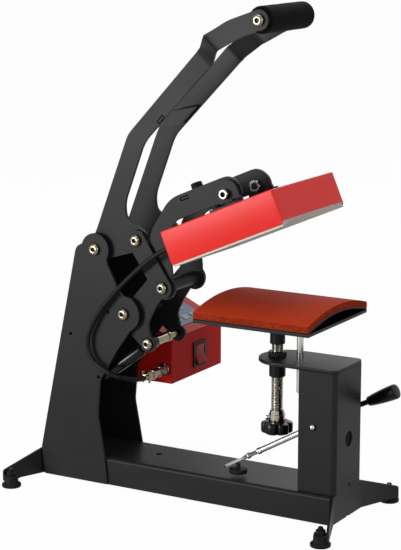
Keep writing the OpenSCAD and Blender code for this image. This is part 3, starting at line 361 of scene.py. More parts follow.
# %% The cable
CABLE_R, CABLE_SIDE = 3.0, np.array([0.7071, 0.7071, 0.0])
route = [[-52, 215.9, 316.6], [-52, 221.4, 314.2], [-52, 231, 309.5], [-52, 243, 302],
         [-52, 256, 292], [-52, 269, 281], [-52, 281, 270], [-52, 293, 258.5], [-52, 304, 246.5],
         [-52, 315, 234], [-52, 325, 220.5], [-52, 333, 206], [-52, 338.5, 191],
         [-52, 337.5, 176], [-52, 330, 163.5], [-52, 317.5, 155.5], [-50.5, 306, 150],
         [-43.5, 299, 145.5], [-32.5, 295.5, 141.5], [-21, 291.5, 138.5], [-10, 289, 137],
         [-3, 289, 137]]
line = through(route, 6)
cable = piece("heater_cable_bow", [swept(line, CABLE_R, CABLE_SIDE)], None, jacket,
              ["heater_cable"])
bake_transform(cable)

# %% [markdown]
# The connector is a plated coupling ring with grip flutes, a back shell and a clamp. Flutes are a
# cosine on the radius as it goes round, which a grid of angle and length makes at once.

# %% The connector
SOCKET = np.array([44.5, 289.0, 137.0])


def fluted(profile, start, axis, flutes, depth, sides=144):
    """A turned solid whose radius loses depth (1 + cos(flutes a)) / 2 where the profile says 1."""
    h, r, cut = np.asarray(profile, float).T[:, :, None, None]
    r = np.maximum(r - depth * cut * (1 + np.cos(flutes * angles(sides))) / 2, 0)
    return carried(h, r, start, axis, sides)


plug_ring = fluted([(3.2, 0, 0), (3.2, 6.4, 0), (3.6, 6.7, 0), (4.2, 6.7, 1), (13.6, 6.7, 1),
                    (14.2, 6.7, 0), (14.8, 6.3, 0), (15, 5.4, 0), (15, 0, 0)], SOCKET,
                   (-1, 0, 0), 28, 0.5)
plug_shell = turned([(14.6, 5.3), (28.4, 5.6), (28.6, 6.5), (32.2, 6.5), (32.5, 5.4), (36, 5.4),
                     (38, 5.1), (47.2, 4.2), (47.5, 3.4)], SOCKET, (-1, 0, 0))
clamp_screws = [turned([(-7, 1.4), (6.2, 1.4), (6.2, 2.3), (7.4, 2.3), (7.6, 1.9)],
                       SOCKET - [42.5, y, 0], (0, 0, 1), 20) for y in (-4.6, 4.6)]
plug = piece("connector_plug", [plug_ring, plug_shell, *clamp_screws], "frame", nickel_painted_reflections,
             ["heater_plug"])
piece("connector_socket", [turned([(0, 8), (0.4, 8.2), (2.6, 8.2), (3, 7.8)], SOCKET, (-1, 0, 0)),
                           turned([(-8, 6), (9, 6)], SOCKET, (-1, 0, 0))],
      "frame", nickel_painted_reflections, ["heater_socket"])
boot_axis = opened([0, 1, 0]) - opened([0, 0, 0])
boot_at = opened([-52, 182, 279.5])
piece("cable_boot", [ring([(-1.2, 3.05), (-1.2, 4.4), (0.1, 4.4), (0.1, 5.5), (1.2, 5.5),
                           (3.4, 4.9), (3.8, 4.5), (3.8, 3.05)], boot_at, boot_axis)],
      "heater", moulded_rubber, ["cable_grommet"])

# %% [markdown]
# Cut and folded sheet steel has an edge radius of a few tenths of a millimetre that catches the
# light. Those solids keep their shape: a copy has its doubles merged and its flat faces joined,
# and a live Bevel modifier rounds what is left of its edges.

# %% Eased copies of the sheet-metal solids
EDGE_ANGLE = np.radians(30)


def eased(node, body, material, radius_mm=0.5, cuts=(), across=None, bend=None):
    """A copy of a solid with its flat faces joined and each edge over 30 degrees rounded. If it is
    to bend, it is cut at some places across a direction, and bend moves its points."""
    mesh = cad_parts[node].data.copy()
    mesh.materials.clear()
    form = bmesh.new()
    form.from_mesh(mesh)
    bmesh.ops.remove_doubles(form, verts=form.verts, dist=1e-6)
    bmesh.ops.dissolve_limit(form, angle_limit=np.radians(0.3), verts=form.verts,
                             edges=form.edges)
    for place in cuts:
        bmesh.ops.bisect_plane(form, geom=[*form.verts, *form.edges, *form.faces], dist=1e-7,
                               plane_co=place, plane_no=across)
    bmesh.ops.recalc_face_normals(form, faces=form.faces)
    form.to_mesh(mesh)
    form.free()
    if bend:
        at = np.zeros(len(mesh.vertices) * 3)
        mesh.vertices.foreach_get("co", at)
        mesh.vertices.foreach_set("co", bend(at.reshape(-1, 3)).ravel())
    mesh.shade_smooth()
    made = dress(node + "_eased", mesh, body, material, [node])
    bevel = made.modifiers.new("edge", "BEVEL")
    bevel.width = radius_mm / 1000
    bevel.segments = 2
    bevel.limit_method = "ANGLE"
    bevel.angle_limit = EDGE_ANGLE
    bevel.use_clamp_overlap = False
    bevel.harden_normals = True
    # flat faces keep their own direction, so that no shading runs across them
    made.modifiers.new("flat", "WEIGHTED_NORMAL").keep_sharp = True


SHEET_METAL = {
    "frame": ["base_channel", "column", "rear_bracket", "side_panel_left", "side_panel_right",
              "back_panel", "gas_spring_bracket"],
    "handle": ["handle_cross_plate"],
    "links": ["link_left", "link_right"],
    "carrier": ["carrier_plate_left", "carrier_plate_right", "carrier_cross_plate",
                "carrier_tube"],
    "heater": ["heater_lugs"],
    "platen": ["platen_plate", "platen_arch"],
}
for body, names in SHEET_METAL.items():
    for name in names:
        eased(name, body, powder_coat)
print("eased", sum(map(len, SHEET_METAL.values())), "solids")

# %% [markdown]
# Each handle arm is cranked outwards under the grip. The solid has sharp corners there, but steel
# bends round a radius. So the copy is cut across at many places, and each cut is moved sideways by
# the difference between a ramp with round ends and the straight ramp that it has.

# %% The cranked arms
JOG_AT, JOG_ANGLE, JOG_LEN, JOG_OUT, JOG_ROUND = (191.3, 546.1), np.radians(133), 23.6, 19.5, 6.5
jog_way = np.array([np.cos(JOG_ANGLE), np.sin(JOG_ANGLE)])


def soft_ramp(t, soft):
    """0 before -soft, t after soft, and the parabola (t + soft)^2 / 4 soft between them."""
    return np.where(t < -soft, 0, np.where(t > soft, t, (t + soft) ** 2 / (4 * soft)))


def cranked(at):
    """Both bends rounded: X moves outwards by JOG_OUT times (soft ramp - straight ramp)."""
    machine = at * 1000 + MIDDLE
    u = (machine[:, 1:] - JOG_AT) @ jog_way
    straight = np.clip(u / JOG_LEN, 0, 1)
    soft = (soft_ramp(u, JOG_ROUND) - soft_ramp(u - JOG_LEN, JOG_ROUND)) / JOG_LEN
    at[:, 0] += np.sign(machine[:, 0]) * JOG_OUT / 1000 * (soft - straight)
    return at


jog_steps = np.arange(-JOG_ROUND, JOG_LEN + JOG_ROUND + 1, 1.5)[:, None]
jog_cuts = row(np.pad(JOG_AT + jog_steps * jog_way, ((0, 0), (1, 0)))).tolist()
for side in ("left", "right"):
    eased("handle_arm_" + side, "handle", powder_coat, cuts=jog_cuts, across=(0, *jog_way),
          bend=cranked)
print("cuts in each arm", len(jog_cuts))

# %% [markdown]
# The plate on the column carries the spindle's nut. Its outline is square at the front, with the
# column's corners, and half round at the back. The grid goes round the outline and from its lower
# edge over the soft upper edge to the hole, whose points lie on the same rays.

# %% The column's top plate
PLATE_LOW, PLATE_TOP, PLATE_HALF, PLATE_REAR, CORNER_R = 184.5, 188.5, 35.0, 126.0, 6
SPINDLE_Y, CORNER_Y = 105.5, 17.0
quarter = np.linspace(0, np.pi / 2, 8)[:, None]
back_arc = np.linspace(0, np.pi, 49)[:, None]
back = np.hstack([PLATE_HALF * np.cos(back_arc),
                  PLATE_REAR - PLATE_HALF + PLATE_HALF * np.sin(back_arc)])
corner = np.hstack([CORNER_R - PLATE_HALF - CORNER_R * np.cos(quarter),
                    CORNER_Y - CORNER_R * np.sin(quarter)])
outline = np.concatenate([back, corner, corner[::-1] * [-1, 1]])
ray = unit(outline - [0, SPINDLE_Y])


def level(flat, z):
    """Points [x, y] at the height z."""
    return np.column_stack([flat, np.full(len(flat), z)])


plate_rows = [level(outline - inset * ray, z) for inset, z in [
    (1.2, PLATE_LOW), (0.3, PLATE_LOW), (0.0, PLATE_LOW + 0.3), (0.0, PLATE_TOP - 0.9),
    (0.25, PLATE_TOP - 0.3), (0.9, PLATE_TOP), (1.6, PLATE_TOP)]]
plate_rows += [level(hole_r * ray + [0, SPINDLE_Y], z) for hole_r, z in [
    (8.4, PLATE_TOP), (7.4, PLATE_TOP), (7.4, PLATE_LOW)]]
piece("spindle_plate", [grid_shell(np.array(plate_rows), (True, True))], "frame", powder_coat,
      ["column_top_plate"])

# %% [markdown]
# Both cross plates reach through slots in their arms, and the shade in each slot shows as a fine
# dark line round the end of the tab. That line is painted shade: thin black bars on the arm's face,
# with no sheen at all. A line of half a millimetre would vanish, so it is drawn 0.9 mm wide.

# %% Painted shade round the tabs
TAB_FROM, TAB_ANGLE = np.array([251.5, 450.3]), np.radians(133.9)
SLOT_WIDE, SLOT_THICK = 0.9, 0.12
slot_shadow = finish("painted_slot_shade", "#020202", "#050505", 1.0, 0.9, 0.01, shine=0.0)


def slot_line(inner, side):
    """Four mitred bars of painted shade on the outer face of an arm, round the corners [y, z] of a
    tab.
    """
    ways = unit(inner[[1, 3]] - inner[0])
    outer = inner + SLOT_WIDE * np.array([[-1, -1], [1, -1], [1, 1], [-1, 1]]) @ ways
    rows = [(inner, 0), (inner, SLOT_THICK), (outer, SLOT_THICK), (outer, 0)]
    return grid_shell(np.array([np.column_stack([np.full(4, side * (ARM_OUT + x)), yz])
                                for yz, x in rows]), (True, True))


tab = np.array([[0, 9.5, -3.5], [0, 19.5, -3.5], [0, 19.5, -0.5], [0, 9.5, -0.5]])
handle_tab = about_x(tab, (0, 0), TAB_ANGLE)[:, 1:] + TAB_FROM
carrier_tab = opened([[0, 155, 327], [0, 165, 327], [0, 165, 330], [0, 155, 330]])[:, 1:]
for body, corners in {"handle": handle_tab, "carrier": carrier_tab}.items():
    piece(body + "_tab_slot_shade", [slot_line(corners, side) for side in BOTH_SIDES], body,
          slot_shadow)

# %% [markdown]
# The pad is a sheet of sponge laid over an arch. Its section is a band between two arcs, and the
# section is carried along the machine, drawn in by a quarter circle at both ends so that the cut
# edges are soft.

# %% The silicone pad
PAD_HALF, PAD_FRONT, PAD_REAR = 76.0, 26.5, 176.5
PAD_TOP_R, PAD_LOW_R, PAD_MIDDLE, PAD_SOFT = 262.0, 254.0, -3.5, 1.0


def arched(x, r, middle):
    """The height of an arch of radius r at x: middle + sqrt(r^2 - x^2)."""
    return middle + np.sqrt(r ** 2 - x ** 2)


def band(half, r_top, r_low, middle, soft):
    """The section of a bent sheet, closed, with its corners rounded by quarter circles."""
    x = np.linspace(-half + soft, half - soft, 64)
    turn = np.linspace(0, np.pi / 2, 7)
    top = np.stack([x, arched(x, r_top, middle)], -1)
    low = np.stack([x, arched(x, r_low, middle)], -1)[::-1]
    side = half - soft
    z_top = arched(side, r_top, middle) - soft
    z_low = arched(side, r_low, middle) + soft
    right_top = np.stack([side + soft * np.sin(turn), z_top + soft * np.cos(turn)], -1)
    right_low = np.stack([side + soft * np.cos(turn), z_low - soft * np.sin(turn)], -1)
    left = np.concatenate([right_top, right_low])[::-1] * [-1, 1]
    return np.concatenate([top, right_top, right_low, low, left])


section = band(PAD_HALF, PAD_TOP_R, PAD_LOW_R, PAD_MIDDLE, PAD_SOFT)
spine_x = np.clip(section[:, 0], PAD_SOFT - PAD_HALF, PAD_HALF - PAD_SOFT)
spine = np.stack([spine_x, arched(spine_x, (PAD_TOP_R + PAD_LOW_R) / 2, PAD_MIDDLE)], -1)
out = unit(section - spine)
phi = np.linspace(0, np.pi / 2, 6)
inset = PAD_SOFT * np.concatenate([1 - np.sin(phi), np.zeros(30), 1 - np.sin(phi)[::-1]])
first, last = PAD_FRONT + PAD_SOFT, PAD_REAR - PAD_SOFT
along = np.concatenate([first - PAD_SOFT * np.cos(phi), np.linspace(first, last, 32)[1:-1],
                        last + PAD_SOFT * np.cos(phi)[::-1]])
skin = section[None] - inset[:, None, None] * out[None]
skin = np.concatenate([spine[None], skin, spine[None]])
along = np.concatenate([along[:1], along, along[-1:]])
pad_grid = np.stack([skin[..., 0], np.broadcast_to(along[:, None], skin.shape[:2]),
                     skin[..., 1]], -1)
pad = piece("cap_pad", [grid_shell(pad_grid)], "platen", silicone, ["silicone_pad"],
            crease=np.radians(50))
pad.data.materials.append(cut_silicone)
normal = np.zeros(len(pad.data.polygons) * 3, np.float32)
pad.data.polygons.foreach_get("normal", normal)
cut = (np.abs(normal.reshape(-1, 3)[:, 2]) < 0.5).astype(np.int32)
pad.data.polygons.foreach_set("material_index", cut)
print("pad", len(pad.data.polygons), "faces")

# %% [markdown]
# The foam grip is a sleeve pushed over a tube. It is turned, and a little slow waviness on the
# radius shows that it is soft.

# %% The foam grip
GRIP = np.array([0, 103.0, 583.0])
x = np.linspace(-52, 52, 53)
edge = np.sqrt(np.clip(1 - ((np.abs(x) - 49) / 3).clip(0) ** 2, 0, 1))
grip_r = 13.4 + 2.3 * edge + 0.12 * np.sin(x / 7.3) * np.cos(x / 17.0)
sleeve = np.concatenate([np.stack([x, grip_r], -1), [[52, 8.05], [-52, 8.05]]])
grip = piece("foam_sleeve", [ring(sleeve, GRIP, (1, 0, 0), 72)], "handle", foam,
             ["handle_grip"])

# %% [markdown]
# Socket screws hold the pivots. A head is a grid of angle and profile: the profile runs from the
# middle of the recess over the dome to the rim, and the recess walls follow a hexagon, whose
# radius at an angle is its half width over the cosine of the angle from the flat's middle.

# %% Screws and nuts
HEX, HEAD_SIDES, WASHER = np.pi / 3, 72, 0.45


def hexagon(flats):
    """The radius at each angle: half the width over the cosine of the angle from the flat."""
    a = angles(HEAD_SIDES).ravel()
    return flats / 2 / np.cos((a + HEX / 2) % HEX - HEX / 2)


def stepped(rows, start, axis, closed=False):
    """A grid from rows of radius and height; a radius is one number or one for each angle."""
    r = np.array([np.broadcast_to(radius, HEAD_SIDES) for radius, _ in rows])[..., None]
    h = np.array([height for _, height in rows])[:, None, None]
    return carried(h, r, start, axis, HEAD_SIDES, closed)


def head(start, axis, radius, height, flats, dome=0.6, depth=2.4):
    """A screw head with a hexagon recess; dome is the share of the height that is rounded."""
    corner, low = flats / 2 / np.cos(HEX / 2), height * (1 - dome)
    inner = corner + 0.7
    rows = [(0, height - depth), (hexagon(flats), height - depth),
            (hexagon(flats), height - 0.25), (corner + 0.5, height)]
    rows += [(inner + (radius - inner) * np.cos(v), low + (height - low) * np.sin(v))
             for v in np.linspace(np.pi / 2, 0, 9)]
    rows += [(radius, 0.3), (radius - 0.3, 0.0), (0, 0.0)]
    # the floor and the walls of the recess take the second, dark material, which is painted shade
    # there
    recess = np.repeat(np.arange(len(rows) - 1) < 2, HEAD_SIDES)
    return *stepped(rows, start, axis), recess


def nut(start, axis, flats=13, height=5, bore=4.05):
    """A hexagon nut, M8 if nothing is said: its corners are trimmed near both faces."""
    full, trimmed = hexagon(flats), np.minimum(hexagon(flats), flats / 2 + 0.1)
    return stepped([(bore, 0.0), (trimmed, 0.0), (full, 0.7), (full, height - 0.7),
                    (trimmed, height), (bore, height)], start, axis, closed=True)


def screwed(name, body, node, rows, extra=()):
    """Button-head screws across the machine from rows of side, out, y, z, shank and nut, with
    black spring washers that draw a painted shadow ring round each head."""
    screws, washers = list(extra), []
    for side, out, y, z, shank, nut_at in rows:
        axis, start = (side, 0, 0), np.array([side * (out + WASHER), y, z])
        screws += [head(start, axis, 7.0, 4.4, 5.0),
                   turned([(0.2, 4), (-shank, 4), (-shank - 0.4, 3.6)], start, axis, 32)]
        if nut_at:
            screws.append((*nut((side * nut_at, y, z), (-side, 0, 0)), 1))
        washers.append(ring([(0, 4.1), (WASHER, 4.1), (WASHER, 8.4), (0.25, 8.6), (0, 8.6)],
                            (side * out, y, z), axis))
    piece(name + "_screws", screws, body, nickel_painted_reflections, [node], second=blackened_and_shade)
    piece(name + "_washers", washers, body, blackened_and_shade)


GRIP_OUT = 56.0
screwed("pivot", "frame", "pivot_bolts",
        [(s, PANEL_OUT, *at, 17.7, NUT_OUT) for s in BOTH_SIDES for at in (PIVOT_A, PIVOT_C)])
screwed("handle", "handle", "handle_bolts",
        [(s, *screw) for s in BOTH_SIDES for screw in
         ((GRIP_OUT, *GRIP[1:], 25, None), (LINK_OUT, *PIVOT_B, 14.2, ARM_IN))])
screwed("carrier", "carrier", "carrier_bolts",
        [(-1, LINK_OUT, *PIVOT_D, 20, None), (1, LINK_OUT, *PIVOT_D, 20, None),
         (-1, ARM_OUT, *PIVOT_E, 79, None)], [(*nut((ARM_OUT, *PIVOT_E), (1, 0, 0)), 1)])
bush = [(0.0, 4.05), (0.0, 8), (9.3, 8), (9.3, 4.05)]
piece("pivot_bush_set", [ring(bush, (s * 32.2, y, z), (s, 0, 0)) for s in BOTH_SIDES
                         for y, z in (PIVOT_A, PIVOT_C)], "frame", bright_steel,
      ["pivot_bushes"])

# %% [markdown]
# The heater tips on two socket screws through its lugs. They were drawn with the press shut, so
# their places go through the opening turn first.

# %% Screws of the heater
LUG = opened([0, 102.5, 315.0])[1:]
HEATER_UP = opened([0, 0, 1]) - opened([0, 0, 0])
lug_screws, foot_screws = [], []
for s in BOTH_SIDES:
    start = (s * LINK_OUT, *LUG)
    lug_screws += [head(start, (s, 0, 0), 6.0, 7.0, 6.0, dome=0.18, depth=4.0),
                   (*turned([(0.2, 4), (-13.5, 4), (-14, 3.6)], start, (s, 0, 0), 32), 1),
                   nut((s * NUT_OUT, *LUG), (-s, 0, 0))]
    for y in (90.5, 114.5):
        start = opened([s * 50.2, y, 302.8])
        foot_screws += [head(start, HEATER_UP, 5.0, 4.0, 4.0, dome=0.3),
                        turned([(0.1, 3), (-28, 3)], start, HEATER_UP, 24)]
piece("lug_screws", lug_screws, "heater", bright_steel, ["heater_pivot_bolts"],
      second=blackened_and_shade)
piece("cover_screws", foot_screws, "heater", blackened_and_shade, ["heater_screws"], second=blackened_and_shade)

# %% [markdown]
# The heater's cover is a folded tray: round corners in plan, a bend round the top, and walls that
# hang lower at the sides than at the ends. The grid goes round the plan and down a profile, from
# the middle of the top, over the bend and the wall's outside, and back up its inside.

# %% The heater's cover
COVER_HALF_W, COVER_FRONT, COVER_REAR = 77.0, 24.0, 182.0
COVER_TOP, SIDE_LOW, END_LOW, COVER_T, BEND_R = 299.8, 258.8, 262.5, 1.2, 1.6


def plan(half_x, half_y, r, per_side=24, per_corner=8):
    """A rounded rectangle and its outward directions: quarter circles n(a) = (cos a, sin a) about
    four centres, and between them straight sides, which keep the direction they start with."""
    a = np.linspace(0, np.pi / 2, per_corner) + np.pi / 2 * np.arange(4)[:, None]
    n = np.stack([np.cos(a), np.sin(a)], -1)
    centre = np.array([[1, 1], [-1, 1], [-1, -1], [1, -1]]) * [half_x - r, half_y - r]
    turn = centre[:, None] + r * n
    t = (np.arange(1, per_side) / per_side)[:, None]
    straight = turn[:, -1:] + t * (np.roll(turn[:, :1], -1, 0) - turn[:, -1:])
    return (np.concatenate([turn, straight], 1).reshape(-1, 2),
            np.concatenate([n, np.repeat(n[:, -1:], per_side - 1, 1)], 1).reshape(-1, 2))


middle_y = (COVER_FRONT + COVER_REAR) / 2
around, outward = plan(COVER_HALF_W, (COVER_REAR - COVER_FRONT) / 2, BEND_R)
low = SIDE_LOW + (END_LOW - SIDE_LOW) * np.clip((np.abs(outward[:, 1]) - 0.25) * 2, 0, 1)
under = COVER_TOP - COVER_T
profile = [(80.0, COVER_TOP), (40.0, COVER_TOP)]
profile += [(BEND_R - BEND_R * np.cos(v), COVER_TOP - BEND_R + BEND_R * np.sin(v))
            for v in np.linspace(np.pi / 2, 0, 7)]
profile += [(0.0, low + 0.3), (0.2, low), (COVER_T - 0.2, low), (COVER_T, low + 0.3),
            (COVER_T, under - 0.4), (COVER_T + 0.4, under), (40.0, under), (80.0, under)]
cover_rows = []
for inset_mm, height in profile:
    share = np.clip(1 - inset_mm / np.array([COVER_HALF_W, middle_y - COVER_FRONT]), 0, 1)
    flat = around * share if inset_mm > 5 else around - inset_mm * outward
    cover_rows.append(np.stack([flat[:, 0], flat[:, 1] + middle_y, height + 0 * low], -1))
cover = piece("heater_tray", [grid_shell(opened(np.array(cover_rows)))], "heater",
              red_enamel, ["heater_cover"], crease=np.radians(40))
print("cover", len(cover.data.polygons), "faces")

# %% [markdown]
# The heated plate is an aluminium casting: flat above, an arch below, and a straight rib across its
# rear end that closes the hollow. A section with as many points at each station makes both.

# %% The heated plate
HOT_HALF, HOT_FRONT, HOT_RIB, HOT_REAR, HOT_TOP = 75.5, 25.5, 177.5, 180.5, 282.0
HOT_R, HOT_MIDDLE = 263.5, 3.7
x = np.linspace(-HOT_HALF + 0.4, HOT_HALF - 0.4, 61)
edge_low = arched(HOT_HALF, HOT_R, HOT_MIDDLE)
corners = np.array([[HOT_HALF, edge_low + 0.4], [HOT_HALF, HOT_TOP], [-HOT_HALF, HOT_TOP],
                    [-HOT_HALF, edge_low + 0.4]])
hollow = np.concatenate([np.stack([x, arched(x, HOT_R, HOT_MIDDLE)], -1), corners])
closed_end = np.concatenate([np.stack([x, np.full(61, edge_low)], -1), corners])
stations = [(HOT_FRONT, hollow), (HOT_RIB, hollow), (HOT_RIB + 0.3, closed_end),
            (HOT_REAR, closed_end)]
rows = [np.column_stack([yz[:, 0], np.full(len(yz), y), yz[:, 1]]) for y, yz in stations]
first, last = (end * [1, 1, 0] + [0, 0, HOT_TOP] for end in (rows[0], rows[-1]))
hot_grid = np.array([first, *rows, last])
piece("cast_heated_plate", [grid_shell(opened(hot_grid))], "heater", hot_plate,
      ["heated_plate"])

# %% [markdown]
# The spindle has a metric thread with a pitch of 2 mm. Its radius is a triangle wave of the height
# over the pitch less the angle over a full turn, so one grid gives the whole helix.

# %% The spindle
THREAD_R, PITCH = 7.2, 2.0


def upright(r, z, start):
    """A grid round the vertical: P(z, a) = start + (r cos a, r sin a, z)."""
    a = angles(r.shape[1])[..., 0]
    return grid_shell(np.stack([r * np.cos(a), r * np.sin(a), z + 0 * a], -1) + start)


def threaded(z0, z1, start, radius, pitch, depth, sides=36, steps=10):
    """r(a, z) = radius - depth |2 frac(z / pitch - a / 2 pi) - 1|, faded out at both ends."""
    z = np.linspace(z0, z1, int((z1 - z0) / pitch * steps))[:, None]
    a = angles(sides)[..., 0]
    wave = np.abs(2 * ((z / pitch - a / (2 * np.pi)) % 1) - 1)
    fade = np.clip(np.minimum(z - z0, z1 - z) / 1.5, 0, 1)
    r = radius - depth * np.clip(1.25 * wave - 0.1, 0, 1) - (1 - fade) * 0.5
    poles = ((1, 1), (0, 0))
    # the lower half of each flank takes a painted groove shade, wider than the groove is, so that
    # the thread shows
    groove = np.pad(wave, ((1, 0), (0, 0))).ravel() > 0.52
    return *upright(np.pad(r, poles), np.pad(z, poles, "edge"), start), groove


spindle_at = np.array([0, SPINDLE_Y, 0.0])
thread_low, thread_top = 122.7, 227.2
set_angle = np.radians(120)
set_way, set_at = np.array([np.cos(set_angle), np.sin(set_angle), 0]), spindle_at + [0, 0, 112.9]
screw = [threaded(thread_low, thread_top, spindle_at, THREAD_R, PITCH, 0.9),
         turned([(98.3, 3), (113.7, 3)], spindle_at, sides=32),
         turned([(113.7, 5.4), (123, 5.4)], spindle_at, sides=40),
         head(set_at + 9.2 * set_way, set_way, 2.8, 4.2, 2.0, dome=0.2, depth=1.6),
         turned([(3.05, 1.9), (9.4, 1.9)], set_at, set_way, 20)]
piece("threaded_spindle", screw, "spindle", thread_steel, ["spindle"], crease=np.radians(50),
      second=thread_groove_shade)
piece("guide_pin", [turned([(146.8, 3), (147.8, 4), (234.2, 4)], (0, 75.6, 0))], "platen",
      bright_steel, ["guide_rod"])
piece("spindle_sleeve", [ring([(203, 7.3), (203, 8.7), (203.3, 9), (234.2, 9), (234.2, 7.3)],
                              spindle_at)], "platen", blackened_and_shade, ["platen_sleeve"])
piece("spindle_bush", [ring([(162.5, 7.3), (162.5, 8.2), (164, 9.8), (184.5, 9.8),
                             (184.5, 7.3)], spindle_at)], "frame", blackened_and_shade, ["spindle_nut"])
lock_profile = [(188.5, 0, 0), (188.5, 10.6, 0), (188.9, 10.8, 1), (193.1, 10.8, 1),
                (193.5, 10.5, 0), (193.5, 0, 0)]
piece("lock_nut", [fluted(lock_profile, spindle_at, (0, 0, 1), 24, 0.5)], "frame", blackened_and_shade,
      ["lock_ring"])

# %% [markdown]
# The star knob is moulded: six lobes join in soft hollows. Its radius is the circle round the
# lobes less a hollow that follows powers of a cosine, and the profile rounds the lobes at top and
# bottom. It is moulded round a steel hub, which a set screw holds on the spindle.

# %% The star knob
KNOB_Z, KNOB_R, LOBES = 94.3, 19.0, 6


def lobed(profile, start, lobes, dip, sides=144):
    """r(a) = R - dip (1 - |cos(lobes a / 2)| ** 0.7) ** 1.4 round the axis, scaled by the
    profile's share of the dip."""
    h, r, share = np.asarray(profile, float).T[:, :, None]
    a = angles(sides)[..., 0]
    hollow = dip * (1 - np.abs(np.cos(lobes * a / 2)) ** 0.7) ** 1.4
    r = np.maximum(r - share * hollow, 0)
    return upright(r, h, start)


star = lobed([(0, 0, 0), (0, 14, 0.5), (0.2, 16.5, 0.9), (1.6, 18.7, 1), (3, KNOB_R, 1),
              (11, KNOB_R, 1), (12.6, 18.4, 1), (13.7, 16, 0.9), (13.9, 12.5, 0.3),
              (14.0, 9.8, 0), (14.0, 0, 0)], spindle_at + [0, 0, KNOB_Z], LOBES, 4.6)
piece("star_handwheel", [star], "spindle", phenolic, ["star_knob"])
hub = ring([(13.4, 5.5), (13.4, 9.5), (14.2, 9.8), (22.8, 9.8), (23.6, 9.0), (27.4, 8.2),
            (28.1, 7.6), (28.1, 5.5)], spindle_at + [0, 0, KNOB_Z])
piece("knob_hub", [hub], "spindle", hub_painted_highlight)
print("thread turns", round((thread_top - thread_low) / PITCH, 1))

# %% [markdown]
# The hold-down lever is bright round bar: a shaft through the column, a tube that carries a flat
# toe with a rubber puck, and a black handle at the front. Its pieces are turned along their own
# slanting axes.

# %% The lever
LEVER = np.array([0, 40.0, 119.0])
slope, rise = np.radians(29.5), np.radians(26.2)
side_way = np.array([1.0, 0, 0])
rear = np.array([0, np.cos(slope), -np.sin(slope)])
forward = np.array([0, -np.cos(rise), np.sin(rise)])
arm_at = LEVER + [-24.5, 0, 0]
grip_at = LEVER + [45, 0, 0]
toe = [(108, 2.2), (110, 3.4), (114, 4.6), (121, 5.0), (130, 4.4), (137, 3.6), (140, 2.4),
       (141, 1.0)]
pin_parts = [[(-39, 0.8), (-38.7, 2.0), (-38, 2.8), (-37, 3.2), (-36.6, 3.2)],
             [(-37, 3.6), (-36.8, 4.3), (-35.7, 4.3), (-35.6, 4.0), (49, 4), (49.5, 3.5)],
             [(-29, 6.6), (-28.6, 7), (-20.4, 7), (-20, 6.6)],
             [(35.8, 6.1), (36.2, 6.5), (49.2, 6.5), (49.6, 6.1)]]
lever_shells = [(*turned(part, LEVER, side_way, 40), i == 1) for i, part in enumerate(pin_parts)]
lever_shells += [
    turned([(0, 4.1), (9, 4.1), (9.5, 3.5), (85, 3.5), (85.4, 4.0), (88.4, 4.0), (88.8, 3.5)],
           arm_at, rear, 40),
    nut(arm_at + 101 * rear, rear, 7.4, 3.6, 2.0),
    (*turned([(0, 3.2), (36.5, 3.2)], grip_at, forward, 24), 1)]
bar_ways = np.stack([side_way, np.cross(rear, side_way), rear])
points, *rest = threaded(85, 112, np.zeros(3), 2.5, 1.0, 0.45, 24, 8)
lever_shells.append((arm_at + points @ bar_ways, *rest))
toe_u, toe_w = np.array(toe).T[:, :, None, None]
corner = np.array([[-1, -1], [-0.8, -1.15], [0.8, -1.15], [1, -1], [1, 1], [0.8, 1.15],
                   [-0.8, 1.15], [-1, 1]])
toe_grid = (arm_at + toe_u * rear + corner[:, :1] * toe_w * bar_ways[0]
            + corner[:, 1:] * 1.25 * bar_ways[1])
toe_ends = toe_grid[[0, -1]].mean(1, keepdims=True).repeat(8, 1)
lever_shells.append(grid_shell(np.concatenate([toe_ends[:1], toe_grid, toe_ends[1:]])))
piece("hold_down_lever", lever_shells, "lever", bar_painted_reflections, ["lever_arm"], second=blackened_and_shade)
handle_profile = [(36, 4.6), (36.4, 5.4), (37.2, 5.9), (44, 6.9), (52, 7.8), (60, 8.5), (68, 8.9),
                  (73.6, 9.0), (75, 8.7), (75.8, 8.1), (76, 7.4)]
piece("lever_handle", [turned(handle_profile, grip_at, forward, 64)], "lever", phenolic,
      ["lever_grip"])
reach = 119.5
foot_at = np.array([-24.5, 40 + reach * np.cos(slope), 0])
foot_top = 119 - reach * np.sin(slope) - 1.6
puck = [(44.5, 9.6), (44.9, 10.6), (46, 11), (49, 11), (50, 10.6), (50.5, 9.5), (50.6, 3.4),
        (51.4, 2.5), (foot_top - 2.05, 2.5)]
piece("lever_puck", [turned(puck, foot_at)], "lever", moulded_rubber, ["lever_pad"])

# %% [markdown]
# The feet are rubber buffers with a waist, and a locknut holds each under its tab.

# %% The feet
feet = [(x, y, 0) for x in (-92, 92) for y in (0, 428)]
buffer = [(0, 11.2), (0.6, 11.9), (3.4, 12), (4.6, 11.0), (5.4, 9.0), (6.2, 8.6), (12.6, 8.3),
          (13.6, 7.4), (13.9, 5.5)]
piece("foot_buffers", [turned(buffer, place) for place in feet], "frame", moulded_rubber,
      ["rubber_feet"])
foot_shells = [shell for place in feet for shell in (
    turned([(5.4, 3), (22.6, 3), (23, 2.6)], place, sides=24),
    nut(np.array(place) + [0, 0, 14], (0, 0, 1), 10, 5.5, 3.05))]
piece("foot_locknuts", foot_shells, "frame", blackened_and_shade, ["foot_bolts"])

# %% [markdown]
# The control box is folded sheet as well, and its lid carries a membrane with a window and four
# raised keys that are left without print.

# %% The control box
eased("control_box_shell", "frame", box_enamel, 0.6)
eased("control_box_lid", "frame", box_enamel, 0.5)
LID_AT, LID_SLOPE = np.array([44.5, 278.0, 176.0]), np.radians(25)


def on_lid(shell):
    """A shell drawn flat, x across and y up the slope, laid on the box's lid."""
    points, *rest = shell
    return LID_AT + about_x(points, (0, 0), LID_SLOPE), *rest


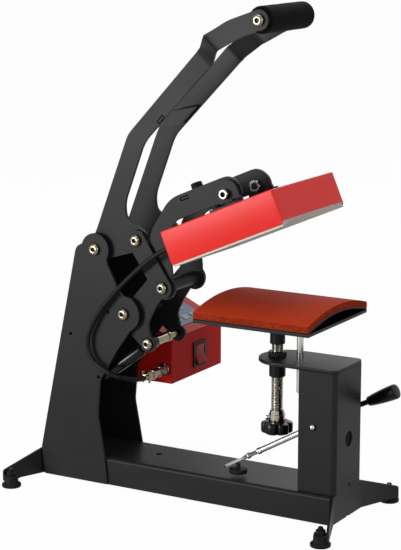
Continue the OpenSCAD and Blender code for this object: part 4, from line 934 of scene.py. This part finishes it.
def tile(x, y, half_x, half_y, z0, z1, r, soft=0.2):
    """A flat plate with round corners in plan and a softened upper edge."""
    line, normals = plan(half_x, half_y, r, 6, 6)
    rows = [(0 * line, z0), (line, z0), (line, z1 - soft), (line - soft * normals, z1),
            (0 * line, z1)]
    return grid_shell(np.array([level(p + [x, y], z) for p, z in rows]))


piece("membrane", [on_lid(tile(61, 44, 44, 30, 1.5, 2.1, 4))], "frame", film,
      ["control_membrane"])
piece("membrane_window", [on_lid(tile(61, 52, 30, 12, 1.9, 2.6, 1.5))], "frame", pale_film)
piece("membrane_keys", [on_lid(tile(31 + 20 * i, 26, 6.5, 5, 1.9, 2.7, 3, 0.5))
                        for i in range(4)], "frame", pale_film)
lid_screws = [on_lid(head((x, y, 1.5), (0, 0, 1), 3.5, 1.8, 2.2, dome=0.9, depth=1.2))
              for x in (7, 116.8) for y in (7, 116.6)]
piece("lid_screws", lid_screws, "frame", bright_steel, ["box_screws"], second=blackened_and_shade)

# %% [markdown]
# The rocker dips in the middle, as a finger wants it, and its bezel is a moulded frame.

# %% The switch
SWITCH = np.array([111.5, 280.0, 145.0])
eased("switch_housing", "frame", moulded_abs, 0.5)
eased("mains_inlet", "frame", moulded_abs, 0.4)
tip = np.radians(-7)
u, v = np.meshgrid(np.linspace(-1, 1, 25), np.linspace(-1, 1, 33), indexing="ij")
lens_x, lens_z = 10.5 * u, 12.0 * v
lens_y = -4.2 - 2.3 * np.abs(v) ** 1.8 + 0.7 * (np.abs(u) ** 12 + np.abs(v) ** 14)
front = np.stack([lens_x, lens_y, lens_z], -1)
back_face = np.stack([lens_x, 3.0 + 2.0 * (1 - np.abs(v)), lens_z * 0.8], -1)
faced = [grid_shell(g, (False, False)) for g in (front, back_face)]
rim = [np.concatenate([g[:, 0], g[-1, 1:], g[-2::-1, -1], g[0, -2:0:-1]])
       for g in (front, back_face)]
walls = grid_shell(np.array(rim))
rocker = [(about_x(points, (0, 0), tip) + SWITCH, faces)
          for points, faces in (*faced, walls)]
rocker_pin = turned([(-11.8, 1.5), (11.8, 1.5)], SWITCH, (1, 0, 0), 24)
piece("rocker_lens", [*rocker, rocker_pin], "rocker", red_lens, ["switch_rocker"],
      crease=np.radians(50))

# %% [markdown]
# The gas spring is a painted tube with a chromed rod. It runs from the carrier's lower pivot down
# to a bracket inside the housing, so it is turned about the line between the two pivots. The
# spool beside it on the shaft and the rubber stop on the carrier are turned as well.

# %% The gas spring
SPRING_X = -26.5
spring_from = np.array([SPRING_X, *PIVOT_E])
spring_to = np.array([SPRING_X, *PIVOT_F])
spring_length = np.linalg.norm(spring_to - spring_from)
spring_axis = unit(spring_to - spring_from)


def eye(bore, r):
    """The profile of an eye 9 mm wide, with soft rims."""
    return [(-4.5, bore), (-4.5, r - 0.3), (-4.2, r), (4.2, r), (4.5, r - 0.3), (4.5, bore)]


tube_profile = [(6, 4.4), (16, 4.4), (16.6, 6.6), (18, 7.5), (103, 7.5), (105.2, 6.9), (106, 5.6),
                (106, 4.05), (46, 4.05), (45, 0.0)]
piece("gas_spring_tube", [ring(eye(4.05, 8), spring_from, (1, 0, 0)),
                          turned(tube_profile, spring_from, spring_axis)],
      "spring_cylinder", gloss_black, ["gas_cylinder"])
piece("gas_spring_rod", [turned([(70, 3.6), (70.4, 4), (spring_length - 7, 4)], spring_from,
                                spring_axis),
                         ring(eye(5.8, 9), spring_to, (1, 0, 0))],
      "spring_rod", chrome_painted_reflections, ["gas_rod"])
sleeve_x = 4.8 + SPRING_X
piece("shaft_spool", [ring([(0, 4.05), (0, 6.2), (0.4, 6.5), (28, 5.5), (28.3, 6.5), (32.7, 6.5),
                            (33, 6.1), (33, 4.05)], (sleeve_x, *PIVOT_E), (1, 0, 0))],
      "carrier", nickel_painted_reflections, ["shaft_sleeve"])
knob_at = opened([0, 160, 330])
piece("stop_knob", [turned([(0, 5.5), (2.9, 5.5), (3.5, 7), (11.4, 7), (12.7, 6.1), (13, 4.4)],
                           knob_at, HEATER_UP)],
      "carrier", moulded_rubber, ["carrier_stop_knob"])

# %% [markdown]
# What is left keeps the shape of its solid and gets its real finish: the tube in the grip, the
# element and the board of fibre over it, and the circuit board.

# %% Finishes for the solids that stay
STAYING = {"handle_tube": bright_steel, "heating_element": dull_steel,
           "insulation_board": fibre_board, "control_board": laminate}
for name, material in STAYING.items():
    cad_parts[name].data.materials.clear()
    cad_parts[name].data.materials.append(material)
left = [n for n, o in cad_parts.items() if not o.hide_render and n not in STAYING]
print("solids without a finish:", left)

# %% [markdown]
# Floor and world are pale. Where the camera or a reflection looks at them they are white, and the
# floor keeps a part of its own shading there, so that the shadow under the machine stays. Four
# square lamps do the rest. The left one is small, and stands where the side panels and the arms
# mirror it, which gives their black its soft sheen.

# %% Floor, world and lights
WHITE = (1, 1, 1, 1)


def blank(block):
    """The node tree of a material or a world, emptied."""
    block.use_nodes = True
    block.node_tree.nodes.clear()
    return block.node_tree


def seen_directly(tree):
    """1 for rays from the camera, a reflection or a refraction, and 0 for diffuse light."""
    path = add(tree, "LightPath", {})
    first = add(tree, "Math", {0: path.outputs["Is Camera Ray"],
                               1: path.outputs["Is Glossy Ray"]}, operation="ADD")
    return add(tree, "Math", {0: first, 1: path.outputs["Is Transmission Ray"]},
               operation="ADD", use_clamp=True)


floor_mesh = bpy.data.meshes.new("floor")
floor_mesh.from_pydata([(-20, -20, 0), (20, -20, 0), (20, 20, 0), (-20, 20, 0)], [],
                       [(0, 1, 2, 3)])
floor = bpy.data.objects.new("floor", floor_mesh)
scene.collection.objects.link(floor)
paper = bpy.data.materials.new("white_paper_sweep")
tree = blank(paper)
matt = add(tree, "BsdfDiffuse", {"Color": (0.9, 0.9, 0.9, 1)})
glow = add(tree, "Emission", {"Color": WHITE, "Strength": 1.0})
amount = add(tree, "Math", {0: seen_directly(tree), 1: 0.975}, operation="MULTIPLY")
mixed = add(tree, "MixShader", {0: amount, 1: matt, 2: glow})
add(tree, "OutputMaterial", {"Surface": mixed})
floor_mesh.materials.append(paper)

world = bpy.data.worlds.new("studio")
scene.world = world
tree = blank(world)
soft = add(tree, "Background", {"Color": WHITE, "Strength": 0.25})
white = add(tree, "Background", {"Color": WHITE, "Strength": 1.0})
mixed = add(tree, "MixShader", {0: seen_directly(tree), 1: soft, 2: white})
add(tree, "OutputWorld", {"Surface": mixed})


def softbox(name, place, target, size, watts):
    """A square area lamp that looks at a target: its -Z axis points from place to target."""
    lamp = bpy.data.objects.new(name, bpy.data.lights.new(name, "AREA"))
    lamp.data.shape = "SQUARE"
    lamp.data.size = size
    lamp.data.energy = watts
    back, e1, e2 = basis(np.subtract(place, target))
    lamp.matrix_world = (Matrix.Translation(place)
                         @ Matrix(np.stack([e1, e2, back], 1).tolist()).to_4x4())
    # it lights and reflects, and never stands in the way of a camera
    lamp.visible_camera = False
    scene.collection.objects.link(lamp)


softbox("left_softbox", (-1.88, 0.98, 0.42), (0, 0, 0.34), 0.76, 46)
softbox("top_softbox", (-0.4, 0.0, 2.2), (0, 0, 0.2), 1.4, 16)
softbox("front_softbox", (-0.9, -2.2, 0.9), (0, 0, 0.3), 1.2, 24)
softbox("right_softbox", (1.9, 0.3, 1.5), (0, 0, 0.3), 1.2, 12)
